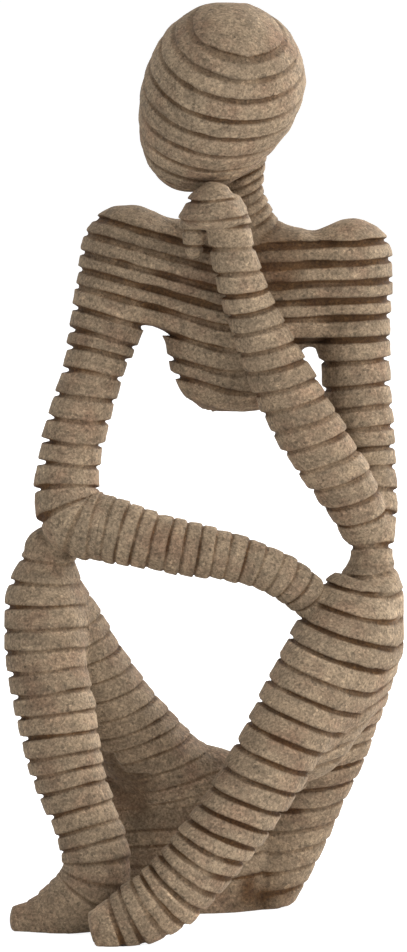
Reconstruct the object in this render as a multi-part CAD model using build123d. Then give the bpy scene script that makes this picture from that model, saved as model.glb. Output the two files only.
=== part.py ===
from build123d import *
import os
from math import cos, radians, sin, sqrt

# Seated thinking figure, cast in sections of sand-filled resin and pinned together on steel dowels.
# The figure looks towards -Y and sits on Z = 0. Left and right are the figure's own, so its right
# side lies towards -X. Grooves round every section turn it into a stack of rings.

# Overall sizes that the places of the limbs follow
FIGURE_WIDTH = 129.0
FIGURE_DEPTH = 102.0
FIGURE_HEIGHT = 300.0

# Radii of the limbs at their fullest
RIGHT_ARM_RADIUS = 11.0
LEFT_ARM_RADIUS = 11.0
LEFT_FOREARM_RADIUS = 10.8
NECK_RADIUS = 6.8
RIGHT_SHIN_RADIUS = 13.4
LEFT_SHIN_RADIUS = 14.4
RIGHT_THIGH_RADIUS = 13.5
LEFT_THIGH_RADIUS = 14.0

# Head, an egg that leans to the figure's left and looks down
HEAD_RADIUS = 25.3
HEAD_HALF_LENGTH = 32.0
HEAD_ROLL = 25.0
HEAD_PITCH = 12.0

# Torso, a wide yoke over a narrow chest that ends in a free rounded bulb
YOKE_HALF_WIDTH = 51.8
YOKE_HEIGHT = 35.6
TORSO_HALF_DEPTH = 14.2
TORSO_TILT = 6.0
CHEST_HALF_WIDTH = 23.5
CHEST_DROP = 24.4
RIGHT_SHOULDER_HALF_WIDTH = 15.0
RIGHT_SHOULDER_RISE = 3.5
LEFT_SHOULDER_HALF_WIDTH = 11.0
LEFT_SHOULDER_RISE = 6.5

# Seat block behind the shins
SEAT_HALF_WIDTH = 32.0
SEAT_HALF_DEPTH = 20.5
SEAT_HEIGHT = 52.0

# Rings and the grooves between them
ARM_RING_PITCH = 7.0
RIGHT_FOREARM_RING_PITCH = 5.3
LEG_RING_PITCH = 7.2
FOOT_RING_PITCH = 4.8
HEAD_RING_PITCH = 6.4
TORSO_RING_PITCH = 5.4
NECK_RING_PITCH = 4.6
GROOVE_DEPTH = 1.3
GROOVE_FLOOR = 0.7
GROOVE_WALL = 0.5
STATIONS_PER_RING = 4

# Glue lines, dowels and felt pads
GLUE_GAP = 0.15
DOWEL_RADIUS = 1.5
DOWEL_LENGTH = 14.0
NECK_DOWEL_LENGTH = 48.0
DOWEL_CLEARANCE = 0.1
PAD_THICKNESS = 1.2
RIGHT_FOOT_PAD_LENGTH = 20.0
RIGHT_FOOT_PAD_WIDTH = 8.0
LEFT_FOOT_PAD_LENGTH = 10.5
LEFT_FOOT_PAD_WIDTH = 6.5
SEAT_PAD_LENGTH = 40.0
SEAT_PAD_WIDTH = 24.0

# Centre lines, as shares of the figure's width, depth and height, and the radius at each place as a
# share of the limb's own radius
RIGHT_ARM_SHARES = [
    (-0.251, 0.029, 0.638), (-0.281, 0.000, 0.593), (-0.311, -0.020, 0.548), (-0.334, -0.039, 0.503),
    (-0.338, -0.059, 0.472), (-0.309, -0.085, 0.444), (-0.247, -0.106, 0.432), (-0.160, -0.123, 0.425),
    (-0.009, -0.127, 0.413), (0.117, -0.127, 0.399), (0.205, -0.118, 0.380), (0.273, -0.088, 0.354),
    (0.315, -0.049, 0.324),
]
RIGHT_ARM_RADIUS_SHARES = [1.00, 0.89, 0.87, 0.89, 0.96, 1.05, 0.96, 0.88, 0.79, 0.70, 0.65, 0.60, 0.56]
RIGHT_ELBOW = 6
LEFT_ARM_SHARES = [
    (0.388, 0.064, 0.627), (0.396, 0.059, 0.583), (0.409, 0.049, 0.540), (0.416, 0.039, 0.496),
    (0.421, 0.010, 0.454), (0.423, -0.020, 0.417), (0.426, -0.029, 0.393),
]
LEFT_ARM_RADIUS_SHARES = [0.96, 0.95, 0.92, 0.88, 0.85, 0.71, 0.65]
LEFT_FOREARM_SHARES = [
    (0.410, -0.039, 0.439), (0.368, -0.088, 0.476), (0.305, -0.118, 0.519), (0.237, -0.132, 0.568),
    (0.171, -0.147, 0.626), (0.121, -0.167, 0.683), (0.081, -0.196, 0.737), (0.048, -0.216, 0.770),
    (0.026, -0.225, 0.794), (0.010, -0.225, 0.827),
]
LEFT_FOREARM_RADIUS_SHARES = [0.79, 0.90, 0.98, 1.00, 0.87, 0.77, 0.74, 0.87, 0.80, 0.58]
LEFT_WRIST = 6
RIGHT_SHIN_SHARES = [
    (-0.375, -0.029, 0.408), (-0.388, -0.039, 0.382), (-0.396, -0.059, 0.342), (-0.390, -0.098, 0.289),
    (-0.366, -0.137, 0.236), (-0.344, -0.167, 0.188), (-0.311, -0.196, 0.141), (-0.278, -0.216, 0.100),
    (-0.268, -0.225, 0.070), (-0.296, -0.216, 0.041), (-0.351, -0.206, 0.026), (-0.412, -0.196, 0.016),
    (-0.476, -0.191, 0.010),
]
RIGHT_SHIN_RADIUS_SHARES = [0.45, 0.75, 0.97, 0.99, 0.97, 0.90, 0.84, 0.81, 0.84, 0.84, 0.73, 0.54, 0.37]
RIGHT_ANKLE = 8
LEFT_SHIN_SHARES = [
    (0.426, -0.029, 0.393), (0.410, -0.039, 0.363), (0.370, -0.078, 0.321), (0.306, -0.147, 0.275),
    (0.237, -0.225, 0.230), (0.156, -0.304, 0.177), (0.091, -0.353, 0.137), (0.016, -0.392, 0.098),
    (-0.054, -0.422, 0.065), (-0.108, -0.436, 0.046), (-0.163, -0.446, 0.034), (-0.213, -0.451, 0.024),
    (-0.253, -0.451, 0.019),
]
LEFT_SHIN_RADIUS_SHARES = [0.50, 0.83, 1.00, 0.97, 0.88, 0.83, 0.81, 0.78, 0.73, 0.68, 0.62, 0.56, 0.42]
LEFT_ANKLE = 8
RIGHT_THIGH_SHARES = [
    (-0.375, -0.029, 0.408), (-0.374, -0.010, 0.372), (-0.360, 0.020, 0.338), (-0.308, 0.069, 0.286),
    (-0.234, 0.127, 0.227), (-0.145, 0.186, 0.172), (-0.048, 0.245, 0.121),
]
RIGHT_THIGH_RADIUS_SHARES = [0.44, 0.74, 0.89, 0.94, 0.98, 1.03, 1.03]
LEFT_THIGH_SHARES = [
    (0.426, -0.029, 0.393), (0.424, 0.005, 0.361), (0.415, 0.039, 0.326), (0.393, 0.078, 0.278),
    (0.356, 0.127, 0.224), (0.309, 0.176, 0.167), (0.256, 0.225, 0.114), (0.195, 0.265, 0.064),
]
LEFT_THIGH_RADIUS_SHARES = [0.51, 0.79, 0.90, 0.93, 0.93, 0.95, 0.97, 1.00]
BELOW_KNEE = 2
MID_LEG = 4
NECK_SHARES = [(0.137, 0.064, 0.730), (0.127, 0.035, 0.785), (0.113, -0.005, 0.853)]
NECK_RADIUS_SHARES = [1.00, 0.86, 0.90]
HEAD_MIDDLE_SHARES = (0.050, -0.088, 0.901)
ARMPIT_SHARES = (0.074, 0.054, 0.637)
SEAT_SHARES = (0.031, 0.250, 0.0)
RIGHT_FOOT_PAD_SHARES = (-0.364, -0.204, 0.0)
LEFT_FOOT_PAD_SHARES = (-0.212, -0.451, 0.0)

# Outlines: how far along the axis, and the radius there
YOKE_OUTLINE_SHARES = [(0.0, 1.00), (0.5, 0.995), (0.8, 0.975), (1.0, 0.94)]
YOKE_DEPTH_SHARES = [(0.0, 1.00), (0.5, 1.00), (0.8, 0.93), (1.0, 0.78)]
CHEST_OUTLINE_SHARES = [
    (0.0, 1.00), (0.3, 0.89), (0.55, 0.77), (0.75, 0.61), (0.88, 0.45), (0.96, 0.26), (1.0, 0.08),
]
CHEST_RINGED_SHARE = 0.55
SHOULDER_OUTLINE_SHARES = [(0.0, 1.00), (0.4, 0.92), (0.75, 0.66), (1.0, 0.20)]
SHOULDER_DEPTH_SHARE = 0.66
SEAT_OUTLINE_SHARES = [(0.0, 0.78), (0.10, 0.92), (0.35, 1.00), (0.62, 0.97), (0.82, 0.78), (1.0, 0.15)]
HEAD_STATION_SHARES = [0.01, 0.05, 0.12, 0.22, 0.34, 0.47, 0.60, 0.72, 0.82, 0.90, 0.96, 0.99]
HEAD_DEPTH_SHARE = 1.04
HEAD_RINGED_SHARES = (0.05, 0.885)

# Directions
DOWN = Vector(0, 0, -1)
ACROSS = Vector(1, 0, 0)
TO_THE_BACK = Vector(0, 1, 0)
TORSO_AXIS = Vector(sin(radians(TORSO_TILT)), 0, cos(radians(TORSO_TILT)))
HEAD_AXIS = Vector(sin(radians(HEAD_ROLL)), -sin(radians(HEAD_PITCH)), cos(radians(HEAD_ROLL)))
RIGHT_WRIST_AXIS = Vector(0.45, 0.35, -0.80)


def place(shares):
    """The point at these shares of the figure's width, depth and height."""
    return Vector(shares[0] * FIGURE_WIDTH, shares[1] * FIGURE_DEPTH, shares[2] * FIGURE_HEIGHT)


def smooth_value(stops, values, t):
    """The value at t on a smooth curve through the values at the stops."""
    i = max(k for k in range(len(stops) - 1) if k == 0 or stops[k] <= t)
    slopes = []
    for k in (i, i + 1):
        before = max(k - 1, 0)
        after = min(k + 1, len(stops) - 1)
        slopes.append((values[after] - values[before]) / (stops[after] - stops[before]))
    span = stops[i + 1] - stops[i]
    u = (t - stops[i]) / span
    level = values[i] + (values[i + 1] - values[i]) * u * u * (3 - 2 * u)
    return level + u * (1 - u) * span * ((1 - u) * slopes[0] - u * slopes[1])


def ring_edges(length, pitch, first=0.0, last=1.0):
    """Shares of a length at which its rings begin and end: a whole number of them, near the pitch."""
    count = max(round(length * (last - first) / pitch), 2)
    return [first + (last - first) * k / count for k in range(count + 1)]


def ring_stack(section, length, edges, stations=()):
    """A solid through section(t, inset), grooved at the ring edges and plain at the stations beyond them."""
    floor = GROOVE_FLOOR / 2 / length
    wall = floor + GROOVE_WALL / length
    lead = [t for t in stations if t < edges[0] - wall]
    tail = [t for t in stations if t > edges[-1] + wall]
    faces = [section(t, 0.0) for t in lead] or [section(edges[0], GROOVE_DEPTH)]
    for edge in edges:
        if lead or edge > edges[0]:
            faces.append(section(edge - wall, 0.0))
            faces.append(section(edge - floor, GROOVE_DEPTH))
        if tail or edge < edges[-1]:
            faces.append(section(edge + floor, GROOVE_DEPTH))
            faces.append(section(edge + wall, 0.0))
    faces.extend([section(t, 0.0) for t in tail] or [section(edges[-1], GROOVE_DEPTH)])
    return loft(faces, ruled=True)


class Limb:
    """A round limb along a smooth centre line, with its radius given at the line's own points."""

    def __init__(self, points, radii, side, ends=None, depth_share=1.0):
        self.path = Spline(*points, tangents=ends) if ends else Spline(*points)
        runs = [(end - start).length for start, end in zip(points, points[1:])]
        self.stops = [sum(runs[:k]) / sum(runs) for k in range(len(points))]
        self.radii = radii
        self.side = side
        self.depth_share = depth_share

    def point(self, stop):
        return self.path @ self.stops[stop]

    def plane(self, t):
        tangent = self.path % t
        return Plane(self.path @ t, x_dir=self.side - tangent * self.side.dot(tangent), z_dir=tangent)

    def section(self, t, inset):
        radius = smooth_value(self.stops, self.radii, t) - inset
        return self.plane(t) * Ellipse(radius, radius * self.depth_share)

    def ringed(self, pitch, first=0.0, last=1.0, stations=()):
        length = self.path.length
        return ring_stack(self.section, length, ring_edges(length, pitch, first, last), stations)

    def plain(self, pitch, first=0.0, last=1.0, gap=0.0):
        """The same stretch without grooves, and with a gap round it when it is a neighbour's socket."""
        edges = ring_edges(self.path.length, pitch / STATIONS_PER_RING, first, last)
        return loft([self.section(t, -gap) for t in edges], ruled=True)


def limb(place_shares, radius_shares, radius, side):
    points = [place(shares) for shares in place_shares]
    return Limb(points, [radius * share for share in radius_shares], side)


def leg(place_shares, radius_shares, radius):
    """A limb that starts straight down at the knee, so that shin and thigh share the knee's flat top."""
    points = [place(shares) for shares in place_shares]
    ends = (DOWN, points[-1] - points[-2])
    return Limb(points, [radius * share for share in radius_shares], TO_THE_BACK, ends)


def stacked(base, height, outline_shares, radius, depth_share):
    """A limb straight up from a plane, with its radius following an outline."""
    points = [base.origin + base.z_dir * (height * along) for along, _ in outline_shares]
    return Limb(points, [radius * share for _, share in outline_shares], base.x_dir, None, depth_share)


def dowel(plane, length=DOWEL_LENGTH, clearance=0.0):
    return plane * Cylinder(DOWEL_RADIUS + clearance, length + 2 * clearance)


def between(first, second):
    """A plane half way between two points, square to the line that joins them."""
    return Plane((first + second) / 2, z_dir=second - first)


# Centre lines
armpit = Plane(place(ARMPIT_SHARES), x_dir=ACROSS - TORSO_AXIS * TORSO_AXIS.X, z_dir=TORSO_AXIS)


def under_yoke(points):
    """The arm's points with the first one slid along the torso's axis onto the underside of the yoke."""
    start = points[0]
    return [start - TORSO_AXIS * (start - armpit.origin).dot(TORSO_AXIS)] + points[1:]


def arm(place_shares, radius_shares, radius, side, end):
    points = under_yoke([place(shares) for shares in place_shares])
    return Limb(points, [radius * share for share in radius_shares], side, (TORSO_AXIS * -1, end))


right_arm = arm(RIGHT_ARM_SHARES, RIGHT_ARM_RADIUS_SHARES, RIGHT_ARM_RADIUS, TO_THE_BACK, RIGHT_WRIST_AXIS)
left_arm = arm(LEFT_ARM_SHARES, LEFT_ARM_RADIUS_SHARES, LEFT_ARM_RADIUS, ACROSS, DOWN)
left_forearm_line = limb(LEFT_FOREARM_SHARES, LEFT_FOREARM_RADIUS_SHARES, LEFT_FOREARM_RADIUS, TO_THE_BACK)
right_leg = leg(RIGHT_SHIN_SHARES, RIGHT_SHIN_RADIUS_SHARES, RIGHT_SHIN_RADIUS)
left_leg = leg(LEFT_SHIN_SHARES, LEFT_SHIN_RADIUS_SHARES, LEFT_SHIN_RADIUS)
right_thigh_line = leg(RIGHT_THIGH_SHARES, RIGHT_THIGH_RADIUS_SHARES, RIGHT_THIGH_RADIUS)
left_thigh_line = leg(LEFT_THIGH_SHARES, LEFT_THIGH_RADIUS_SHARES, LEFT_THIGH_RADIUS)
neck_line = limb(NECK_SHARES, NECK_RADIUS_SHARES, NECK_RADIUS, ACROSS)

head_axis = HEAD_AXIS.normalized()
chin = Plane(place(HEAD_MIDDLE_SHARES) - head_axis * HEAD_HALF_LENGTH,
             x_dir=ACROSS - head_axis * head_axis.X, z_dir=head_axis)
head_outline = [(t, 2 * sqrt(t * (1 - t))) for t in HEAD_STATION_SHARES]
head_line = stacked(chin, 2 * HEAD_HALF_LENGTH, head_outline, HEAD_RADIUS, HEAD_DEPTH_SHARE)
chest_line = stacked(Plane(armpit.origin, x_dir=armpit.x_dir, z_dir=TORSO_AXIS * -1), CHEST_DROP,
                     CHEST_OUTLINE_SHARES, CHEST_HALF_WIDTH, TORSO_HALF_DEPTH / CHEST_HALF_WIDTH)
seat_line = stacked(Plane(place(SEAT_SHARES), x_dir=ACROSS), SEAT_HEIGHT, SEAT_OUTLINE_SHARES,
                    SEAT_HALF_WIDTH, SEAT_HALF_DEPTH / SEAT_HALF_WIDTH)


def yoke_section(t, inset):
    half_width = YOKE_HALF_WIDTH * smooth_value(*zip(*YOKE_OUTLINE_SHARES), t) - inset
    half_depth = TORSO_HALF_DEPTH * smooth_value(*zip(*YOKE_DEPTH_SHARES), t) - inset
    return armpit.offset(YOKE_HEIGHT * t) * SlotOverall(2 * half_width, 2 * half_depth)


def knee_mitre(shin_line, thigh_line):
    """The plane through the knee that shares the angle between shin and thigh, facing the shin."""
    top = shin_line.point(0)
    along_shin = (shin_line.point(MID_LEG) - top).normalized()
    along_thigh = (thigh_line.point(MID_LEG) - top).normalized()
    return Plane(top, z_dir=along_shin - along_thigh)


def torso_shape():
    yoke = ring_stack(yoke_section, YOKE_HEIGHT, ring_edges(YOKE_HEIGHT, TORSO_RING_PITCH))
    shape = yoke + chest_line.ringed(TORSO_RING_PITCH, 0.0, CHEST_RINGED_SHARE, chest_line.stops)
    top = armpit.offset(YOKE_HEIGHT)
    top_half_width = YOKE_HALF_WIDTH * YOKE_OUTLINE_SHARES[-1][1]
    for side, half_width, rise in (
        (-1, RIGHT_SHOULDER_HALF_WIDTH, RIGHT_SHOULDER_RISE),
        (1, LEFT_SHOULDER_HALF_WIDTH, LEFT_SHOULDER_RISE),
    ):
        base = top.shift_origin(top.origin + top.x_dir * (side * (top_half_width - half_width)))
        cap = stacked(base, rise, SHOULDER_OUTLINE_SHARES, half_width, SHOULDER_DEPTH_SHARE)
        shape += loft([cap.section(t, 0.0) for t in cap.stops], ruled=True)
    return shape


# Castings, first whole and then cut where they meet
right_knee = knee_mitre(right_leg, right_thigh_line)
left_knee = knee_mitre(left_leg, left_thigh_line)
right_elbow = right_arm.stops[RIGHT_ELBOW]
left_wrist = left_forearm_line.stops[LEFT_WRIST]
right_ankle = right_leg.stops[RIGHT_ANKLE]
left_ankle = left_leg.stops[LEFT_ANKLE]

castings = {
    "head": head_line.ringed(HEAD_RING_PITCH, *HEAD_RINGED_SHARES, head_line.stops),
    "neck": neck_line.ringed(NECK_RING_PITCH),
    "torso": torso_shape(),
    "right_upper_arm": right_arm.ringed(ARM_RING_PITCH, 0.0, right_elbow),
    "right_forearm": right_arm.ringed(RIGHT_FOREARM_RING_PITCH, right_elbow, 1.0),
    "left_upper_arm": left_arm.ringed(ARM_RING_PITCH),
    "left_forearm": left_forearm_line.ringed(ARM_RING_PITCH, 0.0, left_wrist),
    "left_hand": left_forearm_line.ringed(ARM_RING_PITCH, left_wrist, 1.0),
    "right_thigh": right_thigh_line.ringed(LEG_RING_PITCH),
    "right_shin": right_leg.ringed(LEG_RING_PITCH, 0.0, right_ankle),
    "right_foot": right_leg.ringed(FOOT_RING_PITCH, right_ankle, 1.0),
    "left_thigh": left_thigh_line.ringed(LEG_RING_PITCH),
    "left_shin": left_leg.ringed(LEG_RING_PITCH, 0.0, left_ankle),
    "left_foot": left_leg.ringed(FOOT_RING_PITCH, left_ankle, 1.0),
    "seat": seat_line.ringed(LEG_RING_PITCH),
}

# Knees meet on their mitres
castings["right_shin"] = split(castings["right_shin"], right_knee, keep=Keep.TOP)
castings["right_thigh"] = split(castings["right_thigh"], right_knee, keep=Keep.BOTTOM)
castings["left_shin"] = split(castings["left_shin"], left_knee, keep=Keep.TOP)
castings["left_thigh"] = split(castings["left_thigh"], left_knee, keep=Keep.BOTTOM)

# Sockets and saddles, each a piece with the neighbours that sink into it
head_room = head_line.plain(HEAD_RING_PITCH, head_line.stops[0], head_line.stops[-1], GLUE_GAP)
neck_room = neck_line.plain(NECK_RING_PITCH, gap=GLUE_GAP)
right_arm_room = right_arm.plain(RIGHT_FOREARM_RING_PITCH, gap=GLUE_GAP)
left_arm_room = left_arm.plain(ARM_RING_PITCH, gap=GLUE_GAP)
left_forearm_room = left_forearm_line.plain(ARM_RING_PITCH, gap=GLUE_GAP)
right_thigh_room = right_thigh_line.plain(LEG_RING_PITCH, gap=GLUE_GAP)
left_thigh_room = left_thigh_line.plain(LEG_RING_PITCH, gap=GLUE_GAP)
sockets = {
    "head": [neck_room],
    "torso": [neck_room, left_forearm_room],
    "left_hand": [head_room],
    "left_forearm": [left_arm_room],
    "right_shin": [right_arm_room],
    "right_thigh": [right_arm_room],
    "left_shin": [right_arm_room],
    "left_thigh": [right_arm_room],
    "seat": [right_thigh_room, left_thigh_room],
}
for node, rooms in sockets.items():
    for room in rooms:
        castings[node] -= room

# Soles and seat are flat where their pads are glued on
for node in ("right_foot", "left_foot", "seat"):
    castings[node] = split(castings[node], Plane.XY.offset(PAD_THICKNESS), keep=Keep.TOP)

# Steel dowels, named after the joint that they cross
right_knee_middle = (right_leg.point(BELOW_KNEE) + right_thigh_line.point(BELOW_KNEE)) / 2
left_knee_middle = (left_leg.point(BELOW_KNEE) + left_thigh_line.point(BELOW_KNEE)) / 2
dowel_planes = {
    "shoulder_dowels": [right_arm.plane(0), left_arm.plane(0)],
    "elbow_dowels": [
        right_arm.plane(right_elbow),
        between(left_forearm_line.point(0), left_forearm_line.point(1)),
    ],
    "elbow_rest_dowels": [
        between(right_leg.point(1), right_arm.point(RIGHT_ELBOW - 2)),
        left_arm.plane(1),
    ],
    "wrist_dowels": [right_arm.plane(1), left_forearm_line.plane(left_wrist)],
    "knee_dowels": [
        Plane(right_knee_middle, z_dir=right_knee.z_dir),
        Plane(left_knee_middle, z_dir=left_knee.z_dir),
    ],
    "hip_dowels": [right_thigh_line.plane(1), left_thigh_line.plane(1)],
    "ankle_dowels": [right_leg.plane(right_ankle), left_leg.plane(left_ankle)],
}
neck_dowel_plane = between(neck_line.point(0), neck_line.point(-1))
dowels = {node: [dowel(plane) for plane in planes] for node, planes in dowel_planes.items()}
dowels["neck_dowel"] = [dowel(neck_dowel_plane, NECK_DOWEL_LENGTH)]
bores = [dowel(plane, clearance=DOWEL_CLEARANCE) for planes in dowel_planes.values() for plane in planes]
bores.append(dowel(neck_dowel_plane, NECK_DOWEL_LENGTH, DOWEL_CLEARANCE))
for node in castings:
    castings[node] = castings[node] - bores


def felt_pad(middle_shares, length, width):
    return Pos(place(middle_shares)) * extrude(SlotOverall(length, width), PAD_THICKNESS)


pads = {
    "right_foot_pad": [felt_pad(RIGHT_FOOT_PAD_SHARES, RIGHT_FOOT_PAD_LENGTH, RIGHT_FOOT_PAD_WIDTH)],
    "left_foot_pad": [felt_pad(LEFT_FOOT_PAD_SHARES, LEFT_FOOT_PAD_LENGTH, LEFT_FOOT_PAD_WIDTH)],
    "seat_pad": [felt_pad(SEAT_SHARES, SEAT_PAD_LENGTH, SEAT_PAD_WIDTH)],
}

# The origin lies on the table under the middle of the figure
nodes = {node: shape.solids() for node, shape in castings.items()}
for group in (dowels, pads):
    nodes.update({node: [solid for shape in shapes for solid in shape.solids()] for node, shapes in group.items()})
middle = Compound([solid for solids in nodes.values() for solid in solids]).bounding_box().center()
os.makedirs("parts", exist_ok=True)
for node, solids in nodes.items():
    placed = [Pos(-middle.X, -middle.Y, 0) * solid for solid in solids]
    export_step(placed[0] if len(placed) == 1 else Compound(placed), os.path.join("parts", node + ".step"))
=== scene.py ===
import math

import bpy
import numpy as np
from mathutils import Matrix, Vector


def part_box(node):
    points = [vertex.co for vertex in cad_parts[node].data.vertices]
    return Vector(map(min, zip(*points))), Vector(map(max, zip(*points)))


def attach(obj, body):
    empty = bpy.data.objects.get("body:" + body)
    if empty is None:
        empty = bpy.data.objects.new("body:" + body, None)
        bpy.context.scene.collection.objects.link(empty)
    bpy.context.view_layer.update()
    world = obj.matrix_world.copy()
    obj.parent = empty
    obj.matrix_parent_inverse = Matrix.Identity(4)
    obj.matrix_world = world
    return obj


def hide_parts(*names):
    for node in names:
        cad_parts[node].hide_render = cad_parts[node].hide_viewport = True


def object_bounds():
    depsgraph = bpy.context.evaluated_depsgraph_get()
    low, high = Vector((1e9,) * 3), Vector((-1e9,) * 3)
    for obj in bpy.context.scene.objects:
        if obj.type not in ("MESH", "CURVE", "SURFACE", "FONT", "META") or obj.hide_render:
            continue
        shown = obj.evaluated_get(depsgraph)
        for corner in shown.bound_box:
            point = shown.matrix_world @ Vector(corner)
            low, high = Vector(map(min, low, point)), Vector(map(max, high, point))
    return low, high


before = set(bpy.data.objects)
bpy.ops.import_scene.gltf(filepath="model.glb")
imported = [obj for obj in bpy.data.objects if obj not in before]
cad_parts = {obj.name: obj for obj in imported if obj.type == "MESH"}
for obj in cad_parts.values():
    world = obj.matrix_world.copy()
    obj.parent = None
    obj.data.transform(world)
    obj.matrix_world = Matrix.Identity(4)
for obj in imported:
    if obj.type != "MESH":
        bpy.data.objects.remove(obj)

cad_low, cad_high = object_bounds()

# Seated thinking figure of sand-filled resin, cast in sections and sawn all over into rings.
# Shapes are worked out in millimetres in the pose that the centre lines give, with the figure's right
# side towards -X and its front towards -Y, and go into Blender in metres on the frame's own origin.
METRE = 0.001
FIGURE_SIZE = np.array([129.0, 102.0, 300.0])
SEED = 41

# Limbs: shares of the figure's width, depth and height, then the share of the limb's own radius
RIGHT_ARM_RADIUS = 11.0
RIGHT_ARM_SHARES = [
    (-0.187, 0.054, 0.733, 1.36), (-0.220, 0.044, 0.683, 1.20), (-0.251, 0.029, 0.638, 1.02),
    (-0.281, 0.000, 0.593, 0.91), (-0.313, -0.020, 0.548, 0.91), (-0.335, -0.039, 0.503, 0.92),
    (-0.340, -0.059, 0.474, 0.97), (-0.317, -0.085, 0.446, 1.06), (-0.247, -0.106, 0.4355, 1.01),
    (-0.160, -0.123, 0.4265, 0.89), (-0.009, -0.127, 0.412, 0.78), (0.117, -0.127, 0.400, 0.69),
    (0.205, -0.118, 0.383, 0.65), (0.273, -0.088, 0.358, 0.60), (0.315, -0.049, 0.327, 0.56),
]
RIGHT_SHOULDER, RIGHT_ELBOW = 2, 8
ARM_BLEND = 5.0
SHOULDER_SAMPLE = 6
LEFT_ARM_RADIUS = 11.0
LEFT_ARM_SHARES = [
    (0.382, 0.064, 0.723, 1.21), (0.385, 0.064, 0.670, 1.12), (0.387, 0.064, 0.627, 1.06),
    (0.394, 0.059, 0.583, 1.02), (0.405, 0.049, 0.540, 0.97), (0.415, 0.039, 0.496, 0.91),
    (0.424, 0.010, 0.454, 0.86), (0.430, -0.020, 0.417, 0.68), (0.431, -0.029, 0.393, 0.65),
]
LEFT_SHOULDER = 2
LEFT_FOREARM_RADIUS = 10.8
LEFT_FOREARM_SHARES = [
    (0.410, -0.039, 0.439, 0.79), (0.368, -0.088, 0.476, 0.90), (0.305, -0.118, 0.519, 0.98),
    (0.237, -0.132, 0.568, 1.00), (0.171, -0.147, 0.626, 0.87), (0.115, -0.167, 0.683, 0.74),
    (0.097, -0.180, 0.7065, 0.69), (0.073, -0.199, 0.750, 0.69), (0.0625, -0.208, 0.772, 0.69),
    (0.049, -0.213, 0.791, 0.60),
]
LEFT_WRIST = 7
FOREARM_BLEND = 1.2
FOREARM_CAPS = (1.0, 0.35)
FIST_RADIUS = 11.2
FIST_SHARES = [
    (0.035, -0.225, 0.808, 0.39), (0.031, -0.225, 0.795, 0.74), (0.031, -0.225, 0.785, 0.89),
    (0.031, -0.225, 0.777, 1.00),
]
FIST_BLEND = 0.8
FIST_CAPS = (0.4, 0.4)
KNUCKLE_RADIUS = 4.6
KNUCKLE_SHARES = [
    (-0.018, -0.172, 0.770, 1.00), (-0.018, -0.160, 0.755, 0.90), (-0.018, -0.140, 0.740, 0.70),
]
KNUCKLE_BLEND = 1.6
RIGHT_SHIN_RADIUS = 13.4
RIGHT_SHIN_SHARES = [
    (-0.385, -0.029, 0.408, 0.54), (-0.395, -0.039, 0.382, 0.78), (-0.400, -0.059, 0.342, 0.99),
    (-0.392, -0.098, 0.289, 0.99), (-0.368, -0.137, 0.236, 0.97), (-0.346, -0.167, 0.188, 0.91),
    (-0.311, -0.196, 0.141, 0.83), (-0.275, -0.216, 0.100, 0.81), (-0.265, -0.225, 0.070, 0.84),
    (-0.296, -0.216, 0.038, 0.86), (-0.351, -0.206, 0.022, 0.75), (-0.412, -0.196, 0.012, 0.55),
    (-0.466, -0.191, 0.008, 0.40),
]
RIGHT_ANKLE = 8
RIGHT_FOOT_CAPS = (1.0, 0.45)
LEFT_SHIN_RADIUS = 14.4
LEFT_SHIN_SHARES = [
    (0.431, -0.029, 0.376, 0.40), (0.412, -0.039, 0.359, 0.78), (0.368, -0.078, 0.321, 1.07),
    (0.302, -0.147, 0.275, 1.08), (0.233, -0.225, 0.230, 0.97), (0.154, -0.304, 0.177, 0.89),
    (0.091, -0.350, 0.137, 0.85), (0.016, -0.385, 0.097, 0.83), (-0.054, -0.412, 0.064, 0.81),
    (-0.108, -0.424, 0.044, 0.78), (-0.163, -0.432, 0.031, 0.72), (-0.213, -0.436, 0.020, 0.62),
    (-0.266, -0.440, 0.013, 0.48),
]
LEFT_ANKLE = 8
LEFT_FOOT_CAPS = (1.0, 0.2)
RIGHT_THIGH_RADIUS = 13.5
RIGHT_THIGH_SHARES = [
    (-0.385, -0.029, 0.408, 0.54), (-0.384, -0.010, 0.372, 0.75), (-0.364, 0.020, 0.338, 0.90),
    (-0.308, 0.069, 0.286, 0.99), (-0.234, 0.127, 0.227, 1.08), (-0.145, 0.186, 0.172, 1.18),
    (-0.048, 0.245, 0.121, 1.23),
]
LEFT_THIGH_RADIUS = 14.0
LEFT_THIGH_SHARES = [
    (0.431, -0.029, 0.376, 0.41), (0.424, 0.005, 0.358, 0.77), (0.415, 0.039, 0.326, 0.90),
    (0.393, 0.078, 0.278, 0.94), (0.357, 0.127, 0.224, 0.94), (0.305, 0.176, 0.167, 0.95),
    (0.252, 0.225, 0.114, 0.94), (0.205, 0.248, 0.064, 0.93), (0.158, 0.240, 0.022, 0.84),
]
LEFT_HIP = 7
MID_LEG = 4
DOWN = (0.0, 0.0, -1.0)
KNEE_BLEND, LEFT_KNEE_BLEND, TOUCH_BLEND = 3.5, 9.0, 0.9
KNEE_FADE = (28.0, 50.0)
LEFT_KNEE_FADE = (56.0, 78.0)
NECK_RADIUS = 6.8
NECK_SHARES = [
    (0.140, 0.064, 0.735, 1.55), (0.132, 0.052, 0.757, 1.22), (0.123, 0.042, 0.776, 0.98),
    (0.113, 0.030, 0.790, 0.90), (0.109, 0.012, 0.815, 0.93), (0.104, -0.005, 0.853, 1.25),
]
NECK_BLEND = 4.0

# Web that fills the left leg's outer side below the knee
WEB_RADIUS = 13.0
WEB_SHARES = [
    (0.416, -0.024, 0.352, 0.74), (0.392, -0.030, 0.325, 1.04), (0.351, -0.040, 0.275, 1.17),
    (0.301, -0.053, 0.230, 1.12), (0.246, -0.068, 0.187, 0.90), (0.220, -0.074, 0.168, 0.58),
]

# The arms lie on the right knee and grow into the left one: fillets, and where one turns into the other
GROUP_BLEND = 1.3
REST_BLEND, STEM_BLEND = 1.0, 2.2
STEM_SIDE = (20.0, 45.0)

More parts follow.
